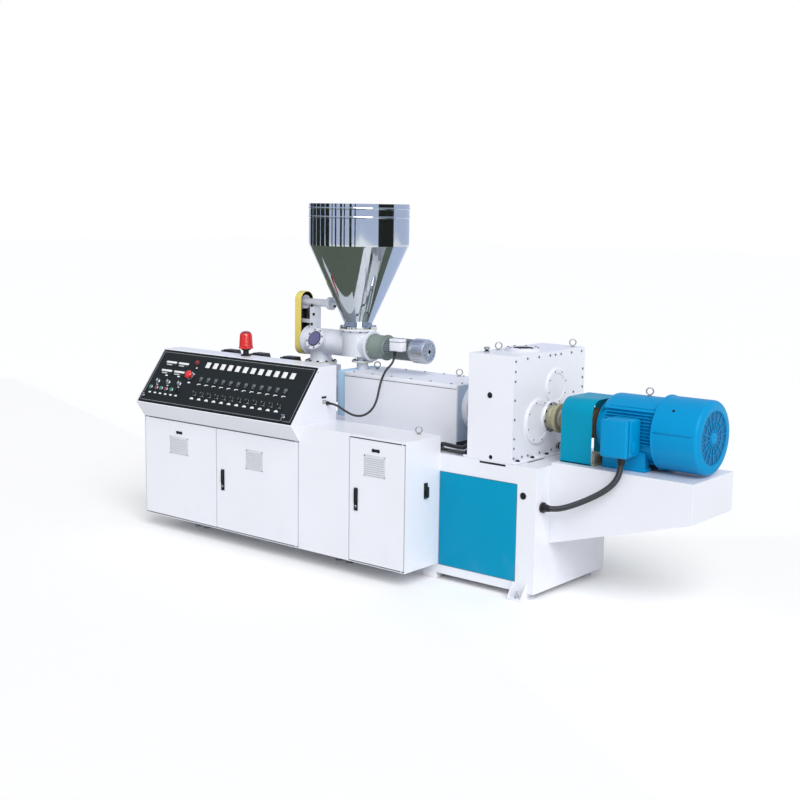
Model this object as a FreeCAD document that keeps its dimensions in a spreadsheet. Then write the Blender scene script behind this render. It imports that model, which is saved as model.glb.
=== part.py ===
import FreeCAD, Part
import math
import os
import re
import Sketcher
from FreeCAD import Rotation, Vector

# Plastic extruder: a twin-screw machine with its hopper, drive and operator's console.
# +X runs from the delivery end towards the main motor, -Y faces the operator, +Z is up.
# The origin is on the floor, in the middle of the machine's length and width.

doc = FreeCAD.newDocument("PlasticExtruder")

sizes = {
    "overall_length": 3855.1,
    "axis_offset": 167.5,
    "axis_height": 1000,
    # operator's console
    "console_length": 1454.6,
    "console_front": 705,
    "console_back": 369.6,
    "console_ground": 100,
    "console_top": 1215,
    "console_crown": 152.7,
    "door_head": 772.7,
    "head_band": 12,
    "lip_height": 875.7,
    "lip_reach": 72,
    "left_door_span": 712.7,
    "sheet_wall": 3,
    "door_gap": 8,
    "door_depth": 16,
    "pivot_inset": 20,
    "pivot_depth": 6,
    "pivot_radius": 4,
    "pivot_clearance": 0.3,
    "pivot_plate": 40,
    "desk_border": 13.6,
    "desk_depth": 12,
    "bay_length": 404.5,
    "cabinet_length": 438.5,
    "cabinet_height": 873.8,
    "cabinet_back": 384,
    "foot_radius": 22,
    "first_foot": 266,
    "second_foot": 358,
    "third_foot": 1574,
    "fourth_foot": 1662,
    "foot_row": 240,
    "handle_width": 29,
    "handle_height": 138,
    "handle_depth": 13.6,
    "handle_inset": 62.2,
    "handle_level": 435.3,
    "cabinet_handle_level": 485.8,
    "isolator_level": 562.6,
    "isolator_inset": 184.8,
    "isolator_height": 95,
    "isolator_width": 33,
    "isolator_depth": 27,
    "beacon_place": 694.2,
    "beacon_inset": 48.7,
    "beacon_radius": 48.6,
    "beacon_height": 114.7,
    "beacon_foot": 48.6,
    "gland_back": 455.2,
    "gland_height": 983.6,
    "gland_radius": 13.6,
    "gland_length": 17.5,
    # drive base and beds
    "motor_bed_length": 878,
    "base_length": 797,
    "base_front": 384,
    "base_ground": 40,
    "base_height": 767,
    "base_side_gap": 131,
    "base_panel_low": 97,
    "base_panel_high": 660,
    "base_panel_depth": 4,
    "base_panel_inset": 121,
    "base_foot_length": 100,
    "base_foot_reach": 58,
    "base_foot_inset": 42,
    "base_foot_rise": 55,
    "base_foot_edge": 3,
    "base_foot_depth": 70,
    "motor_bed_front": 239,
    "motor_bed_height": 785,
    "motor_bed_root": 315,
    "motor_bed_tip": 565,
    "barrel_bed_front": 369.6,
    "barrel_bed_inset": 30,
    # main gearbox
    "gearbox_length": 311,
    "gearbox_inset": 178,
    "gearbox_front": 379,
    "gearbox_height": 1381,
    "low_cover_back": -122,
    "low_cover_height": 985,
    "low_cover_radius": 133,
    "high_cover_back": 62,
    "high_cover_height": 1170,
    "high_cover_radius": 112,
    "cover_depth": 9,
    "top_cover_radius": 105,
    "top_cover_bore": 62,
    "top_cover_depth": 16,
    "top_cover_back": -59,
    # distribution gearbox
    "divider_length": 898,
    "divider_gap": 225,
    "divider_front": 190,
    "divider_height": 1150,
    "adapter_length": 77,
    "adapter_front": 172,
    "adapter_low": 850,
    "link_radius": 135,
    "link_depth": 36,
    "link_core": 88,
    "eye_ring": 17,
    "eye_wire": 4.5,
    "eye_shank": 8,
    "eye_inset": 52,
    "front_eye_back": 160,
    "rear_eye_back": 320,
    "divider_eye_back": 72,
    "divider_eye_inset": 230,
    "cabinet_eye_inset": 118,
    "cabinet_eye_back": 58,
    "motor_eye_back": 120,
    # barrel
    "barrel_inset": 40,
    "barrel_radius": 92,
    "barrel_clearance": 0.3,
    "heater_radius": 118,
    "heater_length": 190,
    "heater_pitch": 292,
    "heater_first": 12,
    "heater_seat": 100,
    "heater_hood_place": 5,
    "heater_hood_length": 165,
    "heater_hood_crown": 100,
    "heater_hood_depth": 70,
    "heater_hood_front": 25,
    "heater_hood_top": 1187,
    "die_flange_radius": 140,
    "die_flange_depth": 40,
    "die_bolt_circle": 230,
    "die_bolt_bore": 9,
    "melt_bore": 45,
    "melt_depth": 120,
    "barrel_saddle_length": 90,
    "saddle_place": 208,
    "throat_width": 190,
    # feeder and hopper
    "feed_back": 385,
    "hopper_back": 55,
    "feed_height": 1305,
    "feed_radius": 85,
    "outlet_radius": 72,
    "outlet_flange_radius": 108,
    "outlet_flange_depth": 14,
    "outlet_flange_height": 1160,
    "feed_left": 105,
    "feed_right": 135,
    "feed_cap_radius": 98,
    "feed_cap_depth": 16,
    "tee_radius": 105,
    "tee_top": 1415,
    "tee_drop": 70,
    "tee_flange_radius": 122,
    "tee_flange_depth": 14,
    "hopper_radius": 324,
    "hopper_wall": 3,
    "hopper_height": 2216,
    "hopper_shoulder": 1950,
    "hopper_neck": 84,
    "bead_radius": 7,
    "upper_bead": 30,
    "lower_bead": 85,
    "leg_back": 15,
    "leg_radius": 38,
    "leg_flange_radius": 70,
    "leg_flange_depth": 10,
    "leg_flange_height": 1196,
    "sight_lift": 25,
    "sight_height": 1281,
    "sight_reach": 118,
    "sight_offset": 40,
    "sight_radius": 52,
    "sight_flange_radius": 74,
    "sight_flange_depth": 14,
    "sight_glass_radius": 46,
    "sight_glass_depth": 6,
    "guard_back": 185,
    "guard_length": 56,
    "guard_wall": 3,
    "guard_radius": 60,
    "guard_low": 1205,
    "guard_high": 1632,
    "screw_shaft_radius": 18,
    "stirrer_height": 1560,
    "stirrer_radius": 25,
    "stirrer_length": 215,
    "stirrer_nut_radius": 42,
    "stirrer_nut_depth": 28,
    "stirrer_rod": 12,
    "post_width": 44,
    "post_place": 75,
    "strap_width": 24,
    "upper_pulley": 46,
    "lower_pulley": 40,
    "pulley_length": 34,
    "pulley_gap": 8,
    "belt_thickness": 7,
    "reducer_radius": 77,
    "reducer_length": 120,
    "reducer_rim": 6,
    "small_motor_radius": 70,
    "small_motor_length": 229,
    "small_cowl_radius": 78,
    "small_cowl_length": 110,
    "small_box_length": 100,
    "small_box_front": 126.5,
    "small_box_back": 70,
    "small_box_low": 1303,
    "small_box_high": 1381,
    "small_box_place": 110.5,
    # main motor
    "motor_height": 998,
    "motor_back": 0,
    "motor_end_gap": 10,
    "cowl_length": 275,
    "cowl_radius": 210,
    "cowl_wall": 5,
    "cowl_grille_radius": 150,
    "motor_length": 365,
    "motor_radius": 190,
    "motor_foot_depth": 16,
    "motor_foot_front": 200,
    "motor_foot_inset": 40,
    "shield_length": 45,
    "shield_radius": 138,
    "terminal_length": 165,
    "terminal_place": 130,
    "terminal_front": 330,
    "terminal_low": 880,
    "terminal_high": 1088,
    "terminal_neck": 15,
    "coupling_radius": 88,
    "coupling_length": 210,
    "coupling_gap": 22,
    "shaft_radius": 32,
    "input_boss_radius": 62,
    "input_ring_radius": 84,
    "input_ring_depth": 21,
    "input_boss_length": 70,
    "hood_length": 200,
    "hood_front": 185,
    "hood_top": 1152,
    "hood_corner": 85,
    "hood_wall": 4,
    "hood_gap": 22,
    "conduit_radius": 17,
    "conduit_socket_front": 322,
    "conduit_socket_height": 538,
    "conduit_flange_radius": 30,
    "conduit_flange_depth": 14,
    "cable_radius": 7,
}

sheet = doc.addObject("Spreadsheet::Sheet", "Sizes")
for row, (alias, value) in enumerate(sizes.items(), 1):
    sheet.set("A%d" % row, alias)
    sheet.set("B%d" % row, str(value))
    sheet.setAlias("B%d" % row, alias)
doc.recompute()

# Places that several pieces share, written once from the driving sizes.
places = {
    "left_end": "(-overall_length / 2)",
    "right_end": "(overall_length / 2)",
    "console_face": "(axis_offset - console_front)",
    "console_rear": "(axis_offset - console_back)",
    "console_right": "(left_end + console_length)",
    "bay_right": "(console_right + bay_length)",
    "cabinet_right": "(bay_right + cabinet_length)",
    "cabinet_rear": "(axis_offset - cabinet_back)",
    "door_low": "(console_ground + sheet_wall + door_gap)",
    "desk_rise": "(console_top - lip_height)",
    "desk_run": "(console_front + lip_reach - console_back - console_crown)",
    "desk_slope": "atan2(desk_rise; desk_run)",
    "desk_reach": "sqrt(desk_rise ^ 2 + desk_run ^ 2)",
    "base_right": "(right_end - motor_bed_length)",
    "base_left": "(base_right - base_length)",
    "gearbox_right": "(base_right - gearbox_inset)",
    "gearbox_left": "(gearbox_right - gearbox_length)",
    "divider_right": "(gearbox_left - divider_gap)",
    "divider_left": "(divider_right - divider_length)",
    "adapter_left": "(divider_left - adapter_length)",
    "barrel_left": "(left_end + barrel_inset)",
    "outlet_x": "(divider_left - feed_back)",
    "hopper_x": "(divider_left - hopper_back)",
    "leg_x": "(divider_left - leg_back)",
    "feed_tube_left": "(outlet_x - feed_left)",
    "feed_tube_right": "(hopper_x + feed_right)",
    "guard_left": "(outlet_x - guard_back)",
    "small_motor_left": "(feed_tube_right + reducer_length)",
    "cone_rate": "((hopper_radius - hopper_neck) / (hopper_shoulder - tee_top - tee_flange_depth))",
    "motor_y": "(axis_offset + motor_back)",
    "cowl_left": "(right_end - motor_end_gap - cowl_length)",
    "motor_left": "(cowl_left - motor_length)",
    "shield_left": "(motor_left - shield_length)",
    "boss_right": "(gearbox_right + input_boss_length + input_ring_depth)",
}


def formula(text):
    for name, meaning in reversed(places.items()):
        text = re.sub(r"\b%s\b" % name, meaning, text)
    return re.sub(r"[a-z][a-z_]+", lambda word: prefixed(word.group()), text)


def prefixed(word):
    if word in sizes:
        return "Sizes." + word
    return word


def bind(item, **formulas):
    for name, text in formulas.items():
        item.setExpression(name, formula(text))


def place(item, corner, turn=None):
    if turn:
        item.Placement.Rotation = turn
    item.setExpression("Placement.Base.x", formula(corner[0]))
    item.setExpression("Placement.Base.y", formula(corner[1]))
    item.setExpression("Placement.Base.z", formula(corner[2]))


along_x = Rotation(Vector(0, 1, 0), 90)


def box(name, corner, size):
    item = doc.addObject("Part::Box", name)
    bind(item, Length=size[0], Width=size[1], Height=size[2])
    place(item, corner)
    return item


def cylinder(name, base, radius, height, turn=None):
    item = doc.addObject("Part::Cylinder", name)
    bind(item, Radius=radius, Height=height)
    place(item, base, turn)
    return item


def fuse(name, pieces):
    item = doc.addObject("Part::MultiFuse", name)
    item.Shapes = pieces
    item.Refine = True
    return item


def cut(name, base, tool):
    item = doc.addObject("Part::Cut", name)
    item.Base = base
    item.Tool = tool
    item.Refine = True
    return item


def group(name, pieces):
    item = doc.addObject("Part::Compound", name)
    item.Links = pieces
    return item


def outline(owner, name, plane, depth, corners):
    sketch = owner.newObject("Sketcher::SketchObject", name)
    origin_plane = [one for one in owner.Origin.OriginFeatures if one.Role == plane][0]
    sketch.AttachmentSupport = [(origin_plane, "")]
    sketch.MapMode = "FlatFace"
    sketch.setExpression("AttachmentOffset.Base.z", formula(depth))
    count = len(corners)
    ring = [2 * math.pi * number / count for number in range(count + 1)]
    spots = [Vector(400 * math.cos(angle), 400 * math.sin(angle), 0) for angle in ring]
    for number in range(count):
        sketch.addGeometry(Part.LineSegment(spots[number], spots[number + 1]), False)
    for number in range(count):
        following = (number + 1) % count
        sketch.addConstraint(Sketcher.Constraint("Coincident", number, 2, following, 1))
    for number, corner in enumerate(corners):
        for kind, text in zip(("DistanceX", "DistanceY"), corner):
            constraint = Sketcher.Constraint(kind, -1, 1, number, 1, 100.0)
            index = sketch.addConstraint(constraint)
            sketch.setExpression("Constraints[%d]" % index, formula(text))
    return sketch


def pad(owner, name, sketch, length):
    item = owner.newObject("PartDesign::Pad", name)
    item.Profile = sketch
    item.setExpression("Length", formula(length))
    return item


def pocket(owner, name, sketch, length):
    item = owner.newObject("PartDesign::Pocket", name)
    item.Profile = sketch
    item.Reversed = True
    item.setExpression("Length", formula(length))
    return item


def body(name):
    return doc.addObject("PartDesign::Body", name)


nodes = []


def node(item, label):
    item.Label = label
    nodes.append(item)
    return item


# ---------------------------------------------------------------- operator's console
# The console is a folded-sheet shell. Its sloping desk leans out over the doors.
block = body("console_block")
shell_corners = [
    ("console_face", "console_ground"),
    ("console_rear", "console_ground"),
    ("console_rear", "console_top"),
    ("console_rear - console_crown", "console_top"),
    ("console_face - lip_reach", "lip_height"),
    ("console_face", "door_head"),
]
shell_outline = outline(block, "console_outline", "YZ_Plane", "left_end", shell_corners)
pad(block, "console_solid", shell_outline, "console_length")
room_corners = [
    ("console_face - sheet_wall", "console_ground + sheet_wall"),
    ("console_rear - sheet_wall", "console_ground + sheet_wall"),
    ("console_rear - sheet_wall", "console_top - sheet_wall"),
    ("console_rear - console_crown + sheet_wall", "console_top - sheet_wall"),
    ("console_face - lip_reach + sheet_wall * 2", "lip_height"),
    ("console_face + sheet_wall", "door_head + head_band"),
    ("console_face + pivot_plate", "door_head + head_band"),
    ("console_face + pivot_plate", "door_head"),
    ("console_face - sheet_wall", "door_head"),
]
room_outline = outline(block, "room_outline", "YZ_Plane", "left_end + sheet_wall", room_corners)
pocket(block, "console_room", room_outline, "console_length - sheet_wall * 2")


def desk_point(along, below):
    y = "console_face - lip_reach + (%s) * cos(desk_slope) + (%s) * sin(desk_slope)" % (along, below)
    z = "lip_height + (%s) * sin(desk_slope) - (%s) * cos(desk_slope)" % (along, below)
    return y, z


def desk_box(name, left, along, below, size):
    y, z = desk_point(along, below)
    item = box(name, (left, y, z), size)
    item.Placement.Rotation = Rotation(Vector(1, 0, 0), 45)
    item.setExpression("Placement.Rotation.Angle", formula("desk_slope"))
    return item


def pivot_hole(name, x, low, height):
    base = (x, "console_face + pivot_depth", low)
    return cylinder(name, base, "pivot_radius + pivot_clearance", height)


def pivot_pin(name, x, low, height):
    return cylinder(name, (x, "console_face + pivot_depth", low), "pivot_radius", height)


left_pivot = "left_end + sheet_wall + door_gap + pivot_inset"
right_pivot = "console_right - sheet_wall - door_gap - pivot_inset"
cabinet_pivot = "cabinet_right - sheet_wall - door_gap - pivot_inset"
desk_opening = desk_box(
    "desk_opening", "left_end + desk_border - door_gap", "desk_border - door_gap", "desk_depth * 3",
    ("console_length - (desk_border - door_gap) * 2", "desk_reach - (desk_border - door_gap) * 2",
     "desk_depth * 6"))
desk_axis_y, desk_axis_z = desk_point("desk_reach - desk_border - pivot_inset", "desk_depth / 2")
desk_axle_hole = cylinder(
    "desk_axle_hole", ("left_end - sheet_wall", desk_axis_y, desk_axis_z),
    "pivot_radius + pivot_clearance", "console_length + sheet_wall * 2", along_x)
console_holes = [
    desk_opening,
    desk_axle_hole,
    pivot_hole("left_low_hole", left_pivot, "console_ground - sheet_wall", "sheet_wall * 3"),
    pivot_hole("left_high_hole", left_pivot, "door_head - sheet_wall", "head_band"),
    pivot_hole("right_low_hole", right_pivot, "console_ground - sheet_wall", "sheet_wall * 3"),
    pivot_hole("right_high_hole", right_pivot, "door_head - sheet_wall", "head_band"),
]
node(cut("console_shell", block, fuse("console_openings", console_holes)), "console_body")


def door(name, left, width, high, pivot):
    leaf_height = "%s - door_gap - door_low" % high
    leaf = box(name + "_leaf", (left, "console_face", "door_low"), (width, "door_depth", leaf_height))
    low_pin = pivot_pin(name + "_low_pin", pivot, "console_ground + pivot_clearance",
                        "sheet_wall + door_gap")
    high_pin = pivot_pin(name + "_high_pin", pivot, "%s - door_gap - pivot_clearance" % high,
                         "door_gap + sheet_wall * 2")
    return fuse(name, [leaf, low_pin, high_pin])


left_leaf = door("left_door", "left_end + sheet_wall + door_gap",
                 "left_door_span - sheet_wall - door_gap * 1.5", "door_head", left_pivot)
node(left_leaf, "console_door_left")
right_leaf = door("right_door", "left_end + left_door_span + door_gap / 2",
                  "console_length - left_door_span - sheet_wall - door_gap * 1.5", "door_head",
                  right_pivot)
node(right_leaf, "console_door_right")

# The desk is a tray flush with the slope. It turns up about an axle below its top edge.
tray = desk_box(
    "desk_tray", "left_end + desk_border", "desk_border", "desk_depth",
    ("console_length - desk_border * 2", "desk_reach - desk_border * 2", "desk_depth"))
desk_axle = cylinder(
    "desk_axle", ("left_end + pivot_clearance", desk_axis_y, desk_axis_z),
    "pivot_radius", "console_length - pivot_clearance * 2", along_x)
node(fuse("desk", [tray, desk_axle]), "control_panel")


def handle(name, left, level):
    corner = (left, "console_face - handle_depth", "%s - handle_height / 2" % level)
    return box(name, corner, ("handle_width", "handle_depth", "handle_height"))


console_handle = handle("console_handle", "left_end + left_door_span + handle_inset - handle_width / 2",
                        "handle_level")
node(console_handle, "console_door_handle")

bay = box("bay", ("console_right", "console_face", "console_ground"),
          ("bay_length", "console_front - cabinet_back", "cabinet_height - console_ground"))
node(bay, "bay_housing")

# Small cabinet: an open-fronted sheet shell with a pivot band over its door.
cabinet_block = box("cabinet_block", ("bay_right", "console_face", "console_ground"),
                    ("cabinet_length", "console_front - cabinet_back", "cabinet_height - console_ground"))
cabinet_room = box(
    "cabinet_room",
    ("bay_right + sheet_wall", "console_face + pivot_plate", "console_ground + sheet_wall"),
    ("cabinet_length - sheet_wall * 2", "console_front - cabinet_back - pivot_plate - sheet_wall",
     "cabinet_height - console_ground - sheet_wall * 2"))
cabinet_mouth = box(
    "cabinet_mouth",
    ("bay_right + sheet_wall", "console_face - sheet_wall", "console_ground + sheet_wall"),
    ("cabinet_length - sheet_wall * 2", "pivot_plate + sheet_wall * 2",
     "cabinet_height - console_ground - sheet_wall * 2 - head_band"))
cabinet_openings = fuse("cabinet_openings", [
    cabinet_room,
    cabinet_mouth,
    pivot_hole("cabinet_low_hole", cabinet_pivot, "console_ground - sheet_wall", "sheet_wall * 3"),
    pivot_hole("cabinet_high_hole", cabinet_pivot, "cabinet_height - sheet_wall * 2 - head_band",
               "head_band"),
])
node(cut("cabinet_shell", cabinet_block, cabinet_openings), "cabinet_body")
cabinet_leaf = door("small_door", "bay_right + sheet_wall + door_gap",
                    "cabinet_length - sheet_wall * 2 - door_gap * 2",
                    "(cabinet_height - sheet_wall - head_band)", cabinet_pivot)
node(cabinet_leaf, "cabinet_door")
cabinet_handle = handle("cabinet_handle", "bay_right + handle_inset - handle_width / 2",
                        "cabinet_handle_level")
node(cabinet_handle, "cabinet_door_handle")

# Mains isolator on the cabinet's side.
isolator_plate = box(
    "isolator_plate",
    ("cabinet_right", "console_face + isolator_inset - isolator_width / 2",
     "isolator_level - isolator_height / 2"),
    ("isolator_depth / 3", "isolator_width", "isolator_height"))
isolator_hub = cylinder(
    "isolator_hub", ("cabinet_right", "console_face + isolator_inset",
                     "isolator_level - isolator_height / 6"),
    "isolator_width / 3", "isolator_depth", along_x)
node(fuse("isolator", [isolator_plate, isolator_hub]), "isolator_handle")

feet = []
for mark in ("first_foot", "second_foot", "third_foot", "fourth_foot"):
    feet.append(cylinder(mark + "_post", ("left_end + " + mark, "console_face + foot_row", "0"),
                         "foot_radius", "console_ground"))
node(group("feet", feet), "levelling_feet")

beacon_spot = ("left_end + beacon_place", "console_rear - beacon_inset")
node(cylinder("beacon_stand", beacon_spot + ("console_top",), "beacon_radius * 0.7", "beacon_foot"),
     "beacon_base")
node(cylinder("beacon_dome", beacon_spot + ("console_top + beacon_foot",), "beacon_radius",
              "beacon_height"), "beacon_lens")
gland = cylinder("gland", ("console_right", "axis_offset - gland_back", "gland_height"),
                 "gland_radius", "gland_length", along_x)
node(gland, "cable_gland")

# ---------------------------------------------------------------- base and beds
base = box("base", ("base_left", "axis_offset - base_front", "base_ground"),
           ("base_length", "base_front * 2", "base_height - base_ground"))
node(base, "drive_base")
panels = []
for side, depth in (("front", "axis_offset - base_front - base_panel_depth"),
                    ("back", "axis_offset + base_front")):
    panels.append(box("base_panel_" + side, ("base_left + base_panel_inset", depth, "base_panel_low"),
                      ("base_length - base_side_gap - base_panel_inset", "base_panel_depth",
                       "base_panel_high - base_panel_low")))
node(group("base_panel_pair", panels), "base_panels")
def foot(name, left, front):
    turn = Rotation(Vector(1, 0, 0), 90)
    pad_y = "axis_offset - base_front - base_foot_reach"
    corner = left
    face = "axis_offset - base_front"
    if not front:
        turn = Rotation(Vector(0, 0, 1), 180) * turn
        pad_y = "axis_offset + base_front - base_foot_depth"
        corner = left + " + base_foot_length"
        face = "axis_offset + base_front"
    plate = box(name + "_pad", (left, pad_y, "0"),
                ("base_foot_length", "base_foot_reach + base_foot_depth", "base_ground"))
    gusset = doc.addObject("Part::Wedge", name + "_gusset")
    bind(gusset, Xmax="base_foot_length", X2max="base_foot_length", Ymax="base_foot_rise",
         Zmax="base_foot_reach", Z2max="base_foot_edge")
    gusset.Ymin = 0
    gusset.Xmin = 0
    gusset.X2min = 0
    gusset.Zmin = 0
    gusset.Z2min = 0
    place(gusset, (corner, face, "base_ground"), turn)
    return fuse(name, [plate, gusset])


right_foot = "base_right - base_foot_inset - base_foot_length"
pads = [foot("base_foot_front", right_foot, True), foot("base_foot_back", right_foot, False)]
for side, y in (("front", "axis_offset - base_front"),
                ("back", "axis_offset + base_front - base_foot_depth")):
    pads.append(box("base_pad_" + side, ("base_left", y, "0"),
                    ("base_foot_length", "base_foot_depth", "base_ground")))
node(group("base_pads", pads), "base_feet")

bed = body("motor_bed_body")
bed_corners = [
    ("base_right", "motor_bed_root"),
    ("right_end", "motor_bed_tip"),
    ("right_end", "motor_bed_height"),
    ("base_right", "motor_bed_height"),
]
bed_outline = outline(bed, "motor_bed_outline", "XZ_Plane", "-axis_offset - motor_bed_front", bed_corners)
pad(bed, "motor_bed_solid", bed_outline, "motor_bed_front * 2")
node(bed, "motor_bed")

barrel_frame = box("barrel_frame", ("left_end + barrel_bed_inset", "axis_offset - barrel_bed_front", "0"),
                   ("base_left - left_end - barrel_bed_inset", "barrel_bed_front * 2", "base_height"))
node(barrel_frame, "barrel_bed")

# ---------------------------------------------------------------- gearboxes
gearbox = box("gearbox", ("gearbox_left", "axis_offset - gearbox_front", "base_height"),
              ("gearbox_length", "gearbox_front * 2", "gearbox_height - base_height"))
node(gearbox, "gearbox_housing")
low_cover = cylinder("low_cover", ("gearbox_right", "axis_offset + low_cover_back", "low_cover_height"),
                     "low_cover_radius", "cover_depth", along_x)
high_cover = cylinder("high_cover",
                      ("gearbox_right", "axis_offset + high_cover_back", "high_cover_height"),
                      "high_cover_radius", "cover_depth", along_x)
boss = cylinder("input_boss", ("gearbox_right", "motor_y", "motor_height"),
                "input_boss_radius", "input_boss_length", along_x)
boss_ring = cylinder("input_ring", ("gearbox_right + input_boss_length", "motor_y", "motor_height"),
                     "input_ring_radius", "input_ring_depth", along_x)
node(fuse("end_covers", [low_cover, high_cover, boss, boss_ring]), "gearbox_covers")
top_disc = cylinder("top_disc", ("(gearbox_left + gearbox_right) / 2", "axis_offset + top_cover_back",
                                 "gearbox_height"), "top_cover_radius", "top_cover_depth")
top_bore = cylinder("top_bore", ("(gearbox_left + gearbox_right) / 2", "axis_offset + top_cover_back",
                                 "gearbox_height + top_cover_depth / 4"), "top_cover_bore",
                    "top_cover_depth")
node(cut("top_ring", top_disc, top_bore), "gearbox_top_cover")

divider = box("divider", ("divider_left", "axis_offset - divider_front", "base_height"),
              ("divider_length", "divider_front * 2", "divider_height - base_height"))
node(divider, "distribution_gearbox")
adapter = box("adapter", ("adapter_left", "axis_offset - adapter_front", "adapter_low"),
              ("adapter_length", "adapter_front * 2", "divider_height - adapter_low"))
node(adapter, "barrel_adapter")
link_ring = cylinder("link_ring", ("divider_right", "axis_offset", "axis_height"),
                     "link_radius", "link_depth", along_x)
link_tube = cylinder("link_tube", ("divider_right", "axis_offset", "axis_height"),
                     "link_core", "divider_gap", along_x)
node(fuse("link", [link_ring, link_tube]), "coupling_flange")


def eye(name, x, y, seat):
    centre = (x + " - eye_wire", y, "%s + eye_shank + eye_ring" % seat)
    disc = cylinder(name + "_disc", centre, "eye_ring + eye_wire", "eye_wire * 2", along_x)
    bore = cylinder(name + "_bore", centre, "eye_ring - eye_wire", "eye_wire * 2", along_x)
    shank = cylinder(name + "_shank", (x, y, seat), "eye_wire * 1.4", "eye_shank + eye_wire")
    return fuse(name, [cut(name + "_ring", disc, bore), shank])


eyes = [
    eye("gearbox_front_eye", "gearbox_left + eye_inset", "axis_offset - front_eye_back",
        "gearbox_height"),
    eye("gearbox_back_eye", "gearbox_right - eye_inset", "axis_offset + rear_eye_back",
        "gearbox_height"),
    eye("divider_left_eye", "divider_left + eye_inset", "axis_offset + divider_eye_back",
        "divider_height"),
    eye("divider_right_eye", "divider_right - divider_eye_inset", "axis_offset + divider_eye_back * 2",
        "divider_height"),
    eye("cabinet_eye", "cabinet_right - cabinet_eye_inset", "cabinet_rear - cabinet_eye_back",
        "cabinet_height"),
    eye("motor_eye", "cowl_left - motor_eye_back", "motor_y",
        "motor_height + motor_radius"),
]
node(group("eyes", eyes), "lifting_eyes")

# ---------------------------------------------------------------- barrel
barrel_length = "adapter_left - barrel_left"
barrel_tube = cylinder("barrel_tube", ("barrel_left", "axis_offset", "axis_height"),
                       "barrel_radius", barrel_length, along_x)
die_disc = cylinder("die_disc", ("barrel_left", "axis_offset", "axis_height"),
                    "die_flange_radius", "die_flange_depth", along_x)
die_holes = [cylinder("melt_hole", ("barrel_left - sheet_wall", "axis_offset", "axis_height"),
                      "melt_bore", "melt_depth + sheet_wall", along_x)]
for number in range(8):
    turn = "%s" % (22.5 + 45 * number)
    die_holes.append(cylinder(
        "die_hole_%d" % number,
        ("barrel_left - sheet_wall", "axis_offset + die_bolt_circle / 2 * cos(%s)" % turn,
         "axis_height + die_bolt_circle / 2 * sin(%s)" % turn),
        "die_bolt_bore", "die_flange_depth + sheet_wall * 2", along_x))
node(cut("screw_barrel", fuse("barrel_blank", [barrel_tube, die_disc]), fuse("die_drilling", die_holes)),
     "barrel")
bands = []
for number in range(3):
    start = "barrel_left + die_flange_depth + heater_first + heater_pitch * %d" % number
    outer = cylinder("band_%d" % number, (start, "axis_offset", "axis_height"),
                     "heater_radius", "heater_length", along_x)
    inner = cylinder("band_bore_%d" % number, (start + " - sheet_wall", "axis_offset", "axis_height"),
                     "barrel_radius + barrel_clearance", "heater_length + sheet_wall * 2", along_x)
    terminal = doc.addObject("Part::Wedge", "band_hood_%d" % number)
    bind(terminal, Xmax="heater_hood_length", Ymax="heater_hood_top - axis_height - heater_seat",
         Zmax="heater_hood_depth", Z2max="heater_hood_depth",
         X2min="(heater_hood_length - heater_hood_crown) / 2",
         X2max="(heater_hood_length + heater_hood_crown) / 2")
    terminal.Xmin = 0
    terminal.Ymin = 0
    terminal.Zmin = 0
    terminal.Z2min = 0
    place(terminal, (start + " + heater_hood_place", "axis_offset - heater_hood_front",
                     "axis_height + heater_seat"), Rotation(Vector(1, 0, 0), 90))
    blank = fuse("band_blank_%d" % number, [outer, terminal])
    bands.append(cut("band_ring_%d" % number, blank, inner))
node(group("bands", bands), "barrel_heaters")


def barrel_clear(name, start, length):
    return cylinder(name, (start, "axis_offset", "axis_height"), "barrel_radius + barrel_clearance",
                    length, along_x)


saddle_left = "barrel_left + die_flange_depth + saddle_place"
saddle_block = box("saddle_block", (saddle_left, "axis_offset - barrel_radius", "base_height"),
                   ("barrel_saddle_length", "barrel_radius * 2", "axis_height - base_height"))
saddle_bore = barrel_clear("saddle_bore", saddle_left + " - sheet_wall",
                           "barrel_saddle_length + sheet_wall * 2")
node(cut("saddle", saddle_block, saddle_bore), "barrel_support")
throat_block = box(
    "throat_block",
    ("outlet_x - throat_width / 2", "axis_offset - throat_width / 2", "axis_height - throat_width / 2"),
    ("throat_width", "throat_width",
     "outlet_flange_height - outlet_flange_depth - axis_height + throat_width / 2"))
throat_disc = cylinder("throat_disc", ("outlet_x", "axis_offset",
                                       "outlet_flange_height - outlet_flange_depth"),
                       "outlet_flange_radius", "outlet_flange_depth")
throat_bore = barrel_clear("throat_bore", "outlet_x - throat_width", "throat_width * 2")
node(cut("throat", fuse("throat_blank", [throat_block, throat_disc]), throat_bore), "feed_throat")

# ---------------------------------------------------------------- feeder
feed_tube = cylinder("feed_tube", ("feed_tube_left", "axis_offset", "feed_height"), "feed_radius",
                     "feed_tube_right - feed_tube_left", along_x)
left_cap = cylinder("left_cap", ("feed_tube_left", "axis_offset", "feed_height"),
                    "feed_cap_radius", "feed_cap_depth", along_x)
right_cap = cylinder("right_cap", ("feed_tube_right - feed_cap_depth", "axis_offset", "feed_height"),
                     "feed_cap_radius", "feed_cap_depth", along_x)
outlet_tube = cylinder("outlet_tube", ("outlet_x", "axis_offset", "outlet_flange_height"),
                       "outlet_radius", "feed_height - outlet_flange_height")
outlet_disc = cylinder("outlet_disc", ("outlet_x", "axis_offset", "outlet_flange_height"),
                       "outlet_flange_radius", "outlet_flange_depth")
tee_tube = cylinder("tee_tube", ("hopper_x", "axis_offset", "feed_height - tee_drop"),
                    "tee_radius", "tee_top - feed_height + tee_drop")
tee_disc = cylinder("tee_disc", ("hopper_x", "axis_offset", "tee_top - tee_flange_depth"),
                    "tee_flange_radius", "tee_flange_depth")
leg_tube = cylinder("leg_tube", ("leg_x", "axis_offset", "divider_height"),
                    "leg_radius", "feed_height - divider_height")
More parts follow.
